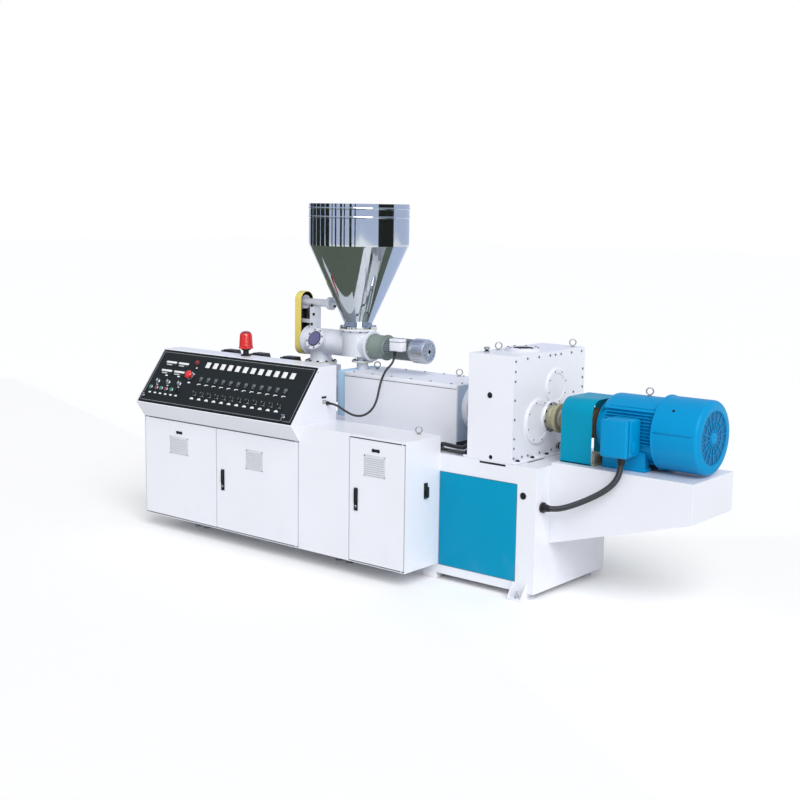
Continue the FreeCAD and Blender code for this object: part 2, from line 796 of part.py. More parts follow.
leg_disc = cylinder("leg_disc", ("leg_x", "axis_offset", "leg_flange_height"),
                    "leg_flange_radius", "leg_flange_depth")
post = box("shaft_post", ("outlet_x - post_place", "axis_offset - post_width * 0.7", "feed_height"),
           ("post_width", "post_width * 1.4",
            "stirrer_height - stirrer_radius - pivot_clearance - feed_height"))
sight_turn = Rotation(Vector(1, 0, 0), 60)
sight_tube = cylinder("sight_tube", ("outlet_x + sight_offset", "axis_offset", "sight_height"),
                      "sight_radius", "sight_reach", sight_turn)
sight_tube.setExpression("Placement.Rotation.Angle", formula("90 - sight_lift"))
rim_y = "axis_offset - (sight_reach - sight_flange_depth) * cos(sight_lift)"
rim_z = "sight_height + (sight_reach - sight_flange_depth) * sin(sight_lift)"
sight_rim = cylinder("sight_rim", ("outlet_x + sight_offset", rim_y, rim_z),
                     "sight_flange_radius", "sight_flange_depth", sight_turn)
sight_rim.setExpression("Placement.Rotation.Angle", formula("90 - sight_lift"))
guard_strap = box("guard_strap", ("guard_left + guard_wall", "axis_offset - strap_width / 2",
                                  "(feed_height + stirrer_height - strap_width) / 2"),
                  ("outlet_x - post_place - guard_left - guard_wall", "strap_width", "strap_width"))
node(fuse("feeder_casting", [feed_tube, left_cap, right_cap, outlet_tube, outlet_disc, tee_tube,
                             tee_disc, leg_tube, leg_disc, post, guard_strap, sight_tube, sight_rim]),
     "feeder_housing")
glass_y = "axis_offset - sight_reach * cos(sight_lift)"
glass_z = "sight_height + sight_reach * sin(sight_lift)"
sight_glass = cylinder("sight_pane", ("outlet_x + sight_offset", glass_y, glass_z),
                       "sight_glass_radius", "sight_glass_depth", sight_turn)
sight_glass.setExpression("Placement.Rotation.Angle", formula("90 - sight_lift"))
node(sight_glass, "sight_window")


def slot(name, left, length, margin):
    low = cylinder(name + "_low", (left, "axis_offset", "guard_low + guard_radius"),
                   "guard_radius - %s" % margin, length, along_x)
    high = cylinder(name + "_high", (left, "axis_offset", "guard_high - guard_radius"),
                    "guard_radius - %s" % margin, length, along_x)
    middle = box(name + "_middle", (left, "axis_offset - guard_radius + %s" % margin,
                                    "guard_low + guard_radius"),
                 (length, "(guard_radius - %s) * 2" % margin,
                  "guard_high - guard_low - guard_radius * 2"))
    return fuse(name, [low, high, middle])


guard_skin = slot("guard_skin", "guard_left", "guard_length", "0")
guard_room = slot("guard_room", "guard_left + guard_wall", "guard_length", "guard_wall")
node(cut("belt_cover", guard_skin, guard_room), "belt_guard")
pulley_left = "guard_left + guard_wall + pulley_gap"
upper_wheel = cylinder("upper_wheel", (pulley_left, "axis_offset", "stirrer_height"), "upper_pulley",
                       "pulley_length", along_x)
lower_wheel = cylinder("lower_wheel", (pulley_left, "axis_offset", "feed_height"), "lower_pulley",
                       "pulley_length", along_x)
belt_span = box("belt_span", (pulley_left + " + pulley_gap", "axis_offset - lower_pulley", "feed_height"),
                ("pulley_length - pulley_gap * 2", "lower_pulley * 2",
                 "stirrer_height - feed_height"))
belt_window = box("belt_window", (pulley_left, "axis_offset - lower_pulley + belt_thickness",
                                  "feed_height + lower_pulley"),
                  ("pulley_length", "(lower_pulley - belt_thickness) * 2",
                   "stirrer_height - feed_height - lower_pulley - upper_pulley"))
lower_shaft = cylinder("lower_shaft", (pulley_left, "axis_offset", "feed_height"),
                       "screw_shaft_radius", "feed_tube_left - (%s)" % pulley_left, along_x)
node(cut("belt_and_pulleys", fuse("belt_blank", [upper_wheel, lower_wheel, belt_span, lower_shaft]),
         belt_window), "belt_drive")
stirrer_left = pulley_left + " + pulley_length"
stirrer_tube = cylinder("stirrer_sleeve", (stirrer_left, "axis_offset", "stirrer_height"),
                        "stirrer_radius", "stirrer_length", along_x)
stirrer_nut = cylinder("stirrer_nut", (stirrer_left + " + stirrer_length", "axis_offset",
                                       "stirrer_height"),
                       "stirrer_nut_radius", "stirrer_nut_depth", along_x)
cone_reach = "(hopper_neck + (stirrer_height + stirrer_rod - tee_top) * cone_rate + pivot_clearance)"
stirrer_rod = cylinder("stirrer_shaft", (stirrer_left + " + stirrer_length", "axis_offset",
                                         "stirrer_height"), "stirrer_rod",
                       "hopper_x - %s - (%s + stirrer_length)" % (cone_reach, stirrer_left), along_x)
node(fuse("stirrer", [stirrer_tube, stirrer_nut, stirrer_rod]), "stirrer_drive")

reducer_disc = cylinder("reducer_disc", ("feed_tube_right", "axis_offset", "feed_height"),
                        "reducer_radius + reducer_rim", "reducer_rim * 2", along_x)
reducer_case = cylinder("reducer_case", ("feed_tube_right", "axis_offset", "feed_height"),
                        "reducer_radius", "reducer_length", along_x)
node(fuse("reducer", [reducer_disc, reducer_case]), "feeder_reducer")
small_body = cylinder("small_motor_body", ("small_motor_left", "axis_offset", "feed_height"),
                      "small_motor_radius", "small_motor_length", along_x)
small_cowl = cylinder("small_motor_cowl", ("small_motor_left + small_motor_length", "axis_offset",
                                           "feed_height"), "small_cowl_radius", "small_cowl_length",
                      along_x)
node(fuse("small_motor", [small_body, small_cowl]), "feeder_motor")
small_box = box("small_box", ("small_motor_left + small_box_place", "axis_offset - small_box_front",
                              "small_box_low"),
                ("small_box_length", "small_box_front - small_box_back",
                 "small_box_high - small_box_low"))
node(small_box, "feeder_terminal_box")

# The hopper is an open-topped shell turned about its own axis, with two rolled beads.
hopper = body("hopper_body")
bead_low = "hopper_height - lower_bead"
bead_high = "hopper_height - upper_bead"
neck_rise = "tee_top + tee_flange_depth"
hopper_corners = [
    ("hopper_neck", "tee_top"),
    ("tee_flange_radius", "tee_top"),
    ("tee_flange_radius", neck_rise),
    ("hopper_neck + hopper_wall", neck_rise),
    ("hopper_radius", "hopper_shoulder"),
    ("hopper_radius", bead_low + " - bead_radius"),
    ("hopper_radius + bead_radius / 2", bead_low),
    ("hopper_radius", bead_low + " + bead_radius"),
    ("hopper_radius", bead_high + " - bead_radius"),
    ("hopper_radius + bead_radius / 2", bead_high),
    ("hopper_radius", bead_high + " + bead_radius"),
    ("hopper_radius", "hopper_height"),
    ("hopper_radius - hopper_wall", "hopper_height"),
    ("hopper_radius - hopper_wall", "hopper_shoulder"),
    ("hopper_neck", neck_rise),
]
hopper_outline = outline(hopper, "hopper_outline", "XZ_Plane", "0", hopper_corners)
turned = hopper.newObject("PartDesign::Revolution", "hopper_turned")
turned.Profile = hopper_outline
turned.ReferenceAxis = (hopper_outline, ["V_Axis"])
turned.Angle = 360
place(hopper, ("hopper_x", "axis_offset", "0"))
node(hopper, "hopper")

# ---------------------------------------------------------------- main motor
motor_core = cylinder("motor_core", ("motor_left", "motor_y", "motor_height"), "motor_radius",
                      "motor_length", along_x)
drive_shield = cylinder("drive_shield", ("shield_left", "motor_y", "motor_height"), "shield_radius",
                        "shield_length", along_x)
motor_feet = box("motor_feet", ("motor_left + motor_foot_inset", "motor_y - motor_foot_front",
                                "motor_bed_height"),
                 ("motor_length - motor_foot_inset * 2", "motor_foot_front * 2", "motor_foot_depth"))
motor_web = box("motor_web", ("motor_left + motor_foot_inset * 1.5", "motor_y - motor_radius * 0.72",
                              "motor_bed_height"),
                ("motor_length - motor_foot_inset * 3", "motor_radius * 1.44",
                 "motor_height - motor_bed_height - motor_radius * 0.5"))
node(fuse("motor", [motor_core, drive_shield, motor_feet, motor_web]), "motor_body")
cowl_skin = cylinder("cowl_skin", ("cowl_left", "motor_y", "motor_height"), "cowl_radius",
                     "cowl_length", along_x)
cowl_room = cylinder("cowl_room", ("cowl_left - sheet_wall", "motor_y", "motor_height"),
                     "cowl_radius - cowl_wall", "cowl_length + sheet_wall - cowl_wall", along_x)
cowl_boss = cylinder("cowl_boss", ("cowl_left", "motor_y", "motor_height"), "cowl_grille_radius * 0.3",
                     "cowl_length", along_x)
node(fuse("cowl", [cut("cowl_shell", cowl_skin, cowl_room), cowl_boss]), "motor_fan_cowl")
terminal_case = box("terminal_case", ("motor_left + terminal_place", "motor_y - terminal_front",
                                      "terminal_low"),
                    ("terminal_length", "terminal_front - motor_radius - terminal_neck",
                     "terminal_high - terminal_low"))
terminal_stub = box("terminal_stub", ("motor_left + terminal_place + terminal_neck",
                                      "motor_y - motor_radius - terminal_neck",
                                      "terminal_low + terminal_neck"),
                    ("terminal_length - terminal_neck * 2", "motor_radius / 2",
                     "terminal_high - terminal_low - terminal_neck * 2"))
terminal_clear = cylinder("terminal_clear", ("motor_left", "motor_y", "motor_height"),
                          "motor_radius + pivot_clearance", "motor_length", along_x)
node(cut("terminal", fuse("terminal_blank", [terminal_case, terminal_stub]), terminal_clear),
     "motor_terminal_box")

drive_shaft = cylinder("drive_shaft", ("boss_right", "motor_y", "motor_height"), "shaft_radius",
                       "shield_left - boss_right", along_x)
coupling = cylinder("coupling_halves", ("shield_left - coupling_gap - coupling_length", "motor_y",
                                        "motor_height"), "coupling_radius", "coupling_length",
                    along_x)
node(fuse("coupling", [drive_shaft, coupling]), "shaft_coupling")


def hood(name, left, length, margin):
    low = "motor_bed_height"
    corner_z = "hood_top - hood_corner"
    lower = box(name + "_lower", (left, "motor_y - hood_front + %s" % margin, low),
                (length, "(hood_front - %s) * 2" % margin, "%s - %s" % (corner_z, low)))
    upper = box(name + "_upper", (left, "motor_y - hood_front + hood_corner", low),
                (length, "(hood_front - hood_corner) * 2", "hood_top - %s - %s" % (margin, low)))
    front = cylinder(name + "_front", (left, "motor_y - hood_front + hood_corner", corner_z),
                     "hood_corner - %s" % margin, length, along_x)
    back = cylinder(name + "_back", (left, "motor_y + hood_front - hood_corner", corner_z),
                    "hood_corner - %s" % margin, length, along_x)
    return fuse(name, [lower, upper, front, back])


hood_left = "base_right + hood_gap"
hood_skin = hood("hood_skin", hood_left, "hood_length", "0")
hood_room = hood("hood_room", hood_left + " - sheet_wall", "hood_length + sheet_wall * 2", "hood_wall")
node(cut("hood_shell", hood_skin, hood_room), "coupling_guard")

# ---------------------------------------------------------------- cords
socket_spot = ("base_right", "axis_offset - conduit_socket_front", "conduit_socket_height")
gland_disc = cylinder("conduit_socket", socket_spot, "conduit_flange_radius",
                      "conduit_flange_depth", along_x)
node(gland_disc, "conduit_flange")


def route_wire(points):
    edges = []
    last = points[0]
    for before, here, after in zip(points, points[1:], points[2:]):
        inward = (here - before).normalize()
        onward = (after - here).normalize()
        shorter = min((here - before).Length, (after - here).Length)
        half_turn = inward.getAngle(onward) / 2
        trim = 0.45 * shorter
        start = here - inward * trim
        finish = here + onward * trim
        toward = (onward - inward).normalize()
        radius = trim / math.tan(half_turn)
        middle = here + toward * (radius / math.cos(half_turn) - radius)
        print("  arc radius %.0f mm, turn %.0f degrees" % (radius, math.degrees(half_turn * 2)))
        edges.append(Part.LineSegment(last, start).toShape())
        edges.append(Part.Arc(start, middle, finish).toShape())
        last = finish
    edges.append(Part.LineSegment(last, points[-1]).toShape())
    return Part.Wire(edges)


def cord(name, points, radius):
    wire = route_wire(points)
    heading = points[1] - points[0]
    ring = Part.Wire(Part.makeCircle(radius, points[0], heading))
    tube = wire.makePipeShell([ring], True, False)
    item = doc.addObject("Part::Feature", name)
    item.Shape = tube
    print(name, "length %.0f mm" % wire.Length,
          "volume ratio %.4f" % (tube.Volume / (math.pi * radius ** 2 * wire.Length)))
    return item


conduit_points = [
    Vector(1513.6, -105.0, 880.0),
    Vector(1513.6, -105.0, 805.0),
    Vector(1483.6, -112.5, 735.0),
    Vector(1424.6, -119.0, 681.0),
    Vector(1350.6, -128.0, 634.0),
    Vector(1274.6, -138.0, 593.0),
    Vector(1198.6, -148.0, 559.0),
    Vector(1125.6, -154.5, 538.0),
    Vector(1063.6, -154.5, 538.0),
]
print("motor conduit")
node(cord("conduit", conduit_points, sizes["conduit_radius"]), "motor_conduit")
cable_points = [
    Vector(-455.4, -287.7, 983.7),
    Vector(-401.0, -287.7, 983.7),
    Vector(-340.1, -275.7, 950.6),
    Vector(-283.2, -253.2, 921.5),
    Vector(-228.3, -225.7, 921.4),
    Vector(-187.9, -190.0, 957.3),
    Vector(-180.1, -151.0, 1018.2),
    Vector(-198.2, -109.0, 1087.1),
    Vector(-214.0, -66.0, 1143.5),
    Vector(-219.0, -22.0, 1190.5),
    Vector(-218.4, 17.2, 1212.3),
    Vector(-218.2, 44.8, 1235.4),
    Vector(-218.2, 60.0, 1268.0),
    Vector(-218.2, 60.0, 1303.0),
]
print("feeder cable")
node(cord("cable", cable_points, sizes["cable_radius"]), "feeder_cable")

# ---------------------------------------------------------------- check and write
doc.recompute()
for item in doc.Objects:
    faults = [state for state in item.State if state in ("Invalid", "Error")]
    if faults:
        raise RuntimeError("%s failed: %s" % (item.Label, item.getStatusString()))
for item in nodes:
    shape = item.Shape
    if shape.isNull() or not shape.isValid():
        raise RuntimeError("%s has no valid shape" % item.Label)
os.makedirs("parts", exist_ok=True)
for item in nodes:
    item.Shape.exportStep("parts/%s.step" % item.Label)
print(len(nodes), "sub-parts written")
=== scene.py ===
import bpy
import bmesh
import math
from mathutils import Matrix, Vector


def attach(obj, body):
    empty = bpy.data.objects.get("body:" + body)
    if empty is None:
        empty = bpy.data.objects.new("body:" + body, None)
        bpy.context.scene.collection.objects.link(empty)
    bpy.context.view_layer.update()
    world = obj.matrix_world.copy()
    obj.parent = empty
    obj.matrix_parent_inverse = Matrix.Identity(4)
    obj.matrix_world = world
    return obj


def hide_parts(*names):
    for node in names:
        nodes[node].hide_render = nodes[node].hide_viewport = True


# A plastic extruder: console in front, hopper and feeder on top, gearboxes and motor at the right.
# +X runs towards the motor, -Y faces the operator, +Z is up. Lengths are metres unless a name says mm.

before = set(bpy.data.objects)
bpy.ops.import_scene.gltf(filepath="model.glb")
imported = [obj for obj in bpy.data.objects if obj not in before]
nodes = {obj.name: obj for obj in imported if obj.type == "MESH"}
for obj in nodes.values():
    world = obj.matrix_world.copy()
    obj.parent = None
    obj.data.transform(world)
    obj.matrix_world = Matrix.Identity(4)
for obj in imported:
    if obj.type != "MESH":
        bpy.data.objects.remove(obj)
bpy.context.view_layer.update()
print("frame loaded,", len(nodes), "pieces")

cameraSetup = {
    "place": (4.91374, -6.15671, 2.2),
    "heading": 39.27,
    "down": 8.515,
    "roll": -0.80,
    "lens": 58.04,
}


def makeCamera(setup):
    yaw = math.radians(setup["heading"])
    pitch = math.radians(setup["down"])
    roll = math.radians(setup["roll"])
    forward = Vector((-math.sin(yaw) * math.cos(pitch), math.cos(yaw) * math.cos(pitch), -math.sin(pitch)))
    right = Vector((math.cos(yaw), math.sin(yaw), 0))
    down = forward.cross(right)
    rolledRight = right * math.cos(roll) + down * math.sin(roll)
    rolledDown = down * math.cos(roll) - right * math.sin(roll)
    turn = Matrix((rolledRight, -rolledDown, -forward)).transposed()
    data = bpy.data.cameras.new("viewCamera")
    data.sensor_width = 36
    data.lens = setup["lens"]
    data.clip_end = 100
    camera = bpy.data.objects.new("viewCamera", data)
    bpy.context.scene.collection.objects.link(camera)
    camera.matrix_world = Matrix.Translation(setup["place"]) @ turn.to_4x4()
    bpy.context.scene.camera = camera


makeCamera(cameraSetup)
print("camera placed")


# Shader sockets that can be added and multiplied like numbers.
class Signal:
    def __init__(self, maker, socket):
        self.maker = maker
        self.socket = socket

    def combine(self, operation, first, second):
        return self.maker.node("ShaderNodeMath", {"operation": operation}, {0: first, 1: second})

    def __add__(self, other):
        return self.combine("ADD", self, other)

    def __sub__(self, other):
        return self.combine("SUBTRACT", self, other)

    def __rsub__(self, other):
        return self.combine("SUBTRACT", other, self)

    def __mul__(self, other):
        return self.combine("MULTIPLY", self, other)

    def __truediv__(self, other):
        return self.combine("DIVIDE", self, other)


# Adds nodes to one tree: settings first, then the values or links of its sockets.
class NodeMaker:
    def __init__(self, tree):
        self.tree = tree

    def node(self, kind, settings=None, values=None, output=0):
        item = self.tree.nodes.new(kind)
        for key, value in (settings or {}).items():
            if key == "stops":
                ramp = item.color_ramp.elements
                while len(ramp) > 1:
                    ramp.remove(ramp[-1])
                ramp[0].position, ramp[0].color = value[0]
                for position, colour in value[1:]:
                    ramp.new(position).color = colour
            else:
                setattr(item, key, value)
        for key, value in (values or {}).items():
            if isinstance(value, Signal):
                self.tree.links.new(value.socket, item.inputs[key])
            else:
                item.inputs[key].default_value = value
        return Signal(self, item.outputs[output])


class Finish(NodeMaker):
    def __init__(self, name):
        self.material = bpy.data.materials.new(name)
        self.material.use_nodes = True
        super().__init__(self.material.node_tree)
        self.tree.nodes.clear()
        self.output = self.tree.nodes.new("ShaderNodeOutputMaterial")

    def coords(self, scale=(1, 1, 1), turn=(0, 0, 0)):
        place = self.node("ShaderNodeTexCoord", output=3)
        return self.node("ShaderNodeMapping", None, {"Vector": place, "Scale": scale, "Rotation": turn})

    def noise(self, where, scale, detail=2.0, roughness=0.5):
        return self.node("ShaderNodeTexNoise", None, {
            "Vector": where, "Scale": scale, "Detail": detail, "Roughness": roughness})

    def axis(self, where, letter):
        return self.node("ShaderNodeSeparateXYZ", None, {0: where}, "XYZ".index(letter))

    def ramp(self, signal, low, high):
        black = (0, 0, 0, 1)
        white = (1, 1, 1, 1)
        return self.node("ShaderNodeValToRGB", {"stops": [(low, black), (high, white)]}, {0: signal})

    def mix(self, factor, first, second):
        return self.node("ShaderNodeMix", {"data_type": "RGBA"}, {0: factor, 6: first, 7: second}, 2)

    def bump(self, height, strength, distance):
        return self.node("ShaderNodeBump", None, {
            "Height": height, "Strength": strength, "Distance": distance})

    def surface(self, **values):
        sockets = {key.replace("_", " ").title().replace("Ior", "IOR"): value
                   for key, value in values.items()}
        shader = self.node("ShaderNodeBsdfPrincipled", None, sockets)
        self.tree.links.new(shader.socket, self.output.inputs["Surface"])
        return self.material


def rgb(red, green, blue, alpha=1.0):
    return (red, green, blue, alpha)


def shade(colour, factor):
    return (colour[0] * factor, colour[1] * factor, colour[2] * factor, 1.0)


# Sprayed paint: faint cloudiness, orange-peel, a little dust low down.
def sprayedPaint(name, colour, roughness=0.34, coat=0.25, peel=0.06, dust=0.16, metallic=0.0, ior=1.45):
    make = Finish(name)
    where = make.coords()
    cloud = make.noise(where, 3.1, 4.0, 0.55)
    fine = make.noise(where, 420.0, 2.0, 0.5)
    smudge = make.ramp(make.noise(where, 7.5, 6.0, 0.62), 0.52, 0.74)
    height = make.axis(where, "Z")
    low = make.ramp(1.0 - height / 0.35, 0.0, 1.0)
    dusty = low * smudge * dust
    tone = make.mix(cloud, shade(colour, 0.965), shade(colour, 1.03))
    body = make.mix(dusty, tone, rgb(0.36, 0.35, 0.34))
    rough = (cloud - 0.5) * 0.10 + roughness + smudge * 0.05
    return make.surface(
        base_color=body, roughness=rough, metallic=metallic, coat_weight=coat, ior=ior,
        coat_roughness=0.12, normal=make.bump(fine, peel, 0.0006))


# Bare turned or ground steel with fine tool lines.
def machinedSteel(name, colour, roughness=0.28, direction="X", stretch=160.0, strength=0.12):
    make = Finish(name)
    scale = [6.0, 6.0, 6.0]
    scale["XYZ".index(direction)] = stretch
    where = make.coords(tuple(scale))
    lines = make.noise(where, 5.0, 3.0, 0.6)
    plain = make.coords()
    stain = make.ramp(make.noise(plain, 14.0, 5.0, 0.6), 0.45, 0.8)
    tone = make.mix(lines, shade(colour, 0.82), shade(colour, 1.08))
    body = make.mix(stain * 0.25, tone, shade(colour, 0.45))
    rough = lines * 0.16 + roughness + stain * 0.12
    return make.surface(base_color=body, roughness=rough, metallic=1.0,
                        normal=make.bump(lines, strength, 0.0004))


# The same, with everything above one level covered by a black terminal hood.
def hoodedSteel(name, colour, level, roughness=0.38):
    make = Finish(name)
    lines = make.noise(make.coords((160.0, 6.0, 6.0)), 5.0, 3.0, 0.6)
    plain = make.coords()
    cloud = make.noise(plain, 30.0, 3.0, 0.5)
    hood = make.ramp(make.axis(plain, "Z") - level, 0.0, 0.002)
    tone = make.mix(lines, shade(colour, 0.82), shade(colour, 1.08))
    black = make.mix(cloud, rgb(0.010, 0.010, 0.012), rgb(0.022, 0.022, 0.025))
    return make.surface(base_color=make.mix(hood, tone, black), roughness=lines * 0.16 + roughness,
                        metallic=1.0 - hood, normal=make.bump(lines, 0.10, 0.0004))


# Cast housing with a granular painted skin.
def castPaint(name, colour, roughness=0.45, grain=0.25, metallic=0.0):
    make = Finish(name)
    where = make.coords()
    sand = make.noise(where, 190.0, 4.0, 0.65)
    cloud = make.noise(where, 9.0, 4.0, 0.6)
    grime = make.ramp(cloud, 0.50, 0.78)
    tone = make.mix(cloud, shade(colour, 0.88), shade(colour, 1.07))
    body = make.mix(grime * 0.30, tone, shade(colour, 0.42))
    return make.surface(base_color=body, roughness=cloud * 0.16 + roughness, metallic=metallic,
                        coat_weight=0.1, coat_roughness=0.25,
                        normal=make.bump(sand, grain, 0.0012))


def mouldedPlastic(name, colour, roughness=0.42, grain=0.12, coat=0.0, ior=1.45):
    make = Finish(name)
    where = make.coords()
    pebble = make.noise(where, 650.0, 2.0, 0.5)
    cloud = make.noise(where, 22.0, 3.0, 0.5)
    tone = make.mix(cloud, shade(colour, 0.85), shade(colour, 1.12))
    return make.surface(base_color=tone, roughness=cloud * 0.12 + roughness, coat_weight=coat, ior=ior,
                        coat_roughness=0.08, normal=make.bump(pebble, grain, 0.0003))


def polishedSteel(name, colour, roughness=0.05):
    make = Finish(name)
    where = make.coords((1.0, 1.0, 0.35))
    ripple = make.noise(where, 4.2, 2.0, 0.45)
    haze = make.ramp(make.noise(make.coords(), 16.0, 6.0, 0.65), 0.55, 0.85)
    tone = make.mix(haze, colour, shade(colour, 0.84))
    return make.surface(base_color=tone, roughness=haze * 0.10 + roughness, metallic=1.0,
                        normal=make.bump(ripple, 0.10, 0.012))


def wovenSheath(name, colour, roughness=0.5):
    make = Finish(name)
    where = make.coords()
    scuff = make.ramp(make.noise(where, 60.0, 5.0, 0.6), 0.48, 0.75)
    tone = make.mix(scuff, colour, shade(colour, 2.6))
    return make.surface(base_color=tone, roughness=scuff * 0.2 + roughness,
                        normal=make.bump(make.noise(where, 500.0), 0.1, 0.0003))


white = rgb(0.765, 0.782, 0.840)
finishes = {
    "consoleWhite": sprayedPaint("consoleWhite", white),
    "panelBlue": sprayedPaint("panelBlue", rgb(0.0, 0.262, 0.445), 0.38, 0.02, dust=0.08, ior=1.18),
    "motorBlue": sprayedPaint("motorBlue", rgb(0.0, 0.262, 0.55), 0.34, 0.05, 0.12, ior=1.2),
    "hoodBlue": sprayedPaint("hoodBlue", rgb(0.0, 0.27, 0.43), 0.36, 0.03, 0.10, ior=1.18),
    # Pale blue on the barrel adapter stands in for the shade on it: painted shade.
    "paleBlue": sprayedPaint("paleBlue", rgb(0.42, 0.62, 0.80), 0.4),
    "charcoal": mouldedPlastic("charcoal", rgb(0.011, 0.015, 0.015), 0.48, 0.10, 0.0, 1.3),
    "castGrey": castPaint("castGrey", rgb(0.72, 0.75, 0.82), 0.4),
    "reducerGrey": castPaint("reducerGrey", rgb(0.20, 0.25, 0.23), 0.40),
    "mirrorSteel": polishedSteel("mirrorSteel", rgb(0.60, 0.64, 0.66), 0.045),
    "brightSteel": machinedSteel("brightSteel", rgb(0.62, 0.62, 0.63)),
    "heaterSteel": hoodedSteel("heaterSteel", rgb(0.55, 0.54, 0.52), 1.122, 0.38),
    "castAlloy": castPaint("castAlloy", rgb(0.62, 0.64, 0.67), 0.26, 0.18, 1.0),
    "guardYellow": sprayedPaint("guardYellow", rgb(0.83, 0.70, 0.16), 0.4, 0.2),
    "beltBlack": mouldedPlastic("beltBlack", rgb(0.02, 0.02, 0.02), 0.6),
    "rawIron": castPaint("rawIron", rgb(0.26, 0.20, 0.12), 0.6, 0.4, 0.3),
    "blackPlastic": mouldedPlastic("blackPlastic", rgb(0.012, 0.012, 0.014), 0.35),
    "sheath": wovenSheath("sheath", rgb(0.018, 0.019, 0.02)),
    "domeRed": mouldedPlastic("domeRed", rgb(0.62, 0.015, 0.01), 0.16, 0.03, 0.8),
    "sightPurple": mouldedPlastic("sightPurple", rgb(0.10, 0.09, 0.22), 0.08, 0.02, 1.0),
    "darkBolt": machinedSteel("darkBolt", rgb(0.045, 0.045, 0.050), 0.38, "Z", 90.0, 0.08),
    "mutedBolt": machinedSteel("mutedBolt", rgb(0.30, 0.31, 0.34), 0.40, "Z", 90.0, 0.08),
    "eyeSteel": castPaint("eyeSteel", rgb(0.50, 0.49, 0.46), 0.34, 0.2, 0.9),
    "labelWhite": mouldedPlastic("labelWhite", rgb(0.78, 0.79, 0.80), 0.35, 0.04, 0.2),
    "meterGlass": mouldedPlastic("meterGlass", rgb(0.006, 0.007, 0.009), 0.10, 0.02, 0.8),
    "dimGrey": mouldedPlastic("dimGrey", rgb(0.42, 0.45, 0.46), 0.4, 0.05),
    "redCap": mouldedPlastic("redCap", rgb(0.66, 0.02, 0.02), 0.22, 0.04, 0.5),
    "greenCap": mouldedPlastic("greenCap", rgb(0.02, 0.22, 0.12), 0.22, 0.04, 0.5),
    "dimRedCap": mouldedPlastic("dimRedCap", rgb(0.22, 0.02, 0.02), 0.25, 0.04, 0.4),
    "trimGrey": sprayedPaint("trimGrey", rgb(0.30, 0.32, 0.33), 0.35, 0.1),
    "louvreGrey": sprayedPaint("louvreGrey", rgb(0.60, 0.62, 0.66), 0.4, 0.1),
    "seamGrey": sprayedPaint("seamGrey", rgb(0.05, 0.10, 0.14), 0.5, 0.0, ior=1.2),
    "gasketYellow": castPaint("gasketYellow", rgb(0.52, 0.50, 0.30), 0.45, 0.2),
    "mossSteel": castPaint("mossSteel", rgb(0.40, 0.39, 0.26), 0.45, 0.3, 0.3),
    "pipeBlack": mouldedPlastic("pipeBlack", rgb(0.02, 0.02, 0.022), 0.30, 0.06, 0.3),
    # Blue-grey standing in for the shade on the distribution gearbox's right end: painted shade.
    "shadeBlue": sprayedPaint("shadeBlue", rgb(0.33, 0.41, 0.52), 0.4, 0.15),
    "finDark": castPaint("finDark", rgb(0.40, 0.45, 0.46), 0.36, 0.16, 0.6),
    # Dark blue in the fan cowl's slits and grille openings: painted shade.
    "slitBlue": sprayedPaint("slitBlue", rgb(0.18, 0.24, 0.33), 0.4, 0.1),
    # Dark blue behind the main fan cowl's grille spokes is painted shade; on the cowl and terminal box it
    # marks seams.
    "grilleDark": sprayedPaint("grilleDark", rgb(0.0, 0.13, 0.32), 0.45, 0.1, 0.1),
    "scaleGrey": mouldedPlastic("scaleGrey", rgb(0.13, 0.15, 0.15), 0.4, 0.05),
    "conduitGrey": mouldedPlastic("conduitGrey", rgb(0.030, 0.033, 0.036), 0.36, 0.08, 0.2),
    # Near-black, matt and barely reflective: painted shade inside the gearbox's top bore.
    "wellBlack": sprayedPaint("wellBlack", rgb(0.05, 0.055, 0.06), 0.9, 0.0, ior=1.06),
    # Near-black lining the inside of the belt guard: painted shade.
    "guardBlack": sprayedPaint("guardBlack", rgb(0.018, 0.018, 0.016), 0.45, 0.1),
    "stubYellow": castPaint("stubYellow", rgb(0.70, 0.66, 0.45), 0.45, 0.2),
    "sightRing": castPaint("sightRing", rgb(0.06, 0.06, 0.075), 0.4, 0.2, 0.5),
}

nodeFinish = {
    "console_body": "consoleWhite", "console_door_left": "consoleWhite",
    "console_door_right": "consoleWhite", "control_panel": "charcoal",
    "console_door_handle": "blackPlastic", "bay_housing": "consoleWhite",
    "cabinet_body": "consoleWhite", "cabinet_door": "consoleWhite",
    "cabinet_door_handle": "blackPlastic", "isolator_handle": "blackPlastic",
    "levelling_feet": "brightSteel", "beacon_base": "castGrey", "beacon_lens": "domeRed",
    "cable_gland": "blackPlastic", "drive_base": "consoleWhite", "base_panels": "panelBlue",
    "base_feet": "consoleWhite", "motor_bed": "consoleWhite", "barrel_bed": "consoleWhite",
    "gearbox_housing": "consoleWhite", "gearbox_covers": "consoleWhite",
    "gearbox_top_cover": "consoleWhite", "distribution_gearbox": "consoleWhite",
    # The barrel adapter takes the pale blue of painted shade.
    "barrel_adapter": "paleBlue", "coupling_flange": "consoleWhite", "lifting_eyes": "brightSteel",
    "barrel": "brightSteel", "barrel_heaters": "heaterSteel", "barrel_support": "consoleWhite",
    "feed_throat": "brightSteel", "feeder_housing": "castGrey", "sight_window": "sightPurple",
    "belt_guard": "guardYellow", "belt_drive": "brightSteel", "stirrer_drive": "castGrey",
    "feeder_reducer": "reducerGrey", "feeder_motor": "castAlloy",
    "feeder_terminal_box": "consoleWhite", "hopper": "mirrorSteel", "motor_body": "motorBlue",
    "motor_fan_cowl": "motorBlue", "motor_terminal_box": "motorBlue", "shaft_coupling": "rawIron",
    "coupling_guard": "hoodBlue", "conduit_flange": "blackPlastic", "motor_conduit": "sheath",
    "feeder_cable": "sheath",
}


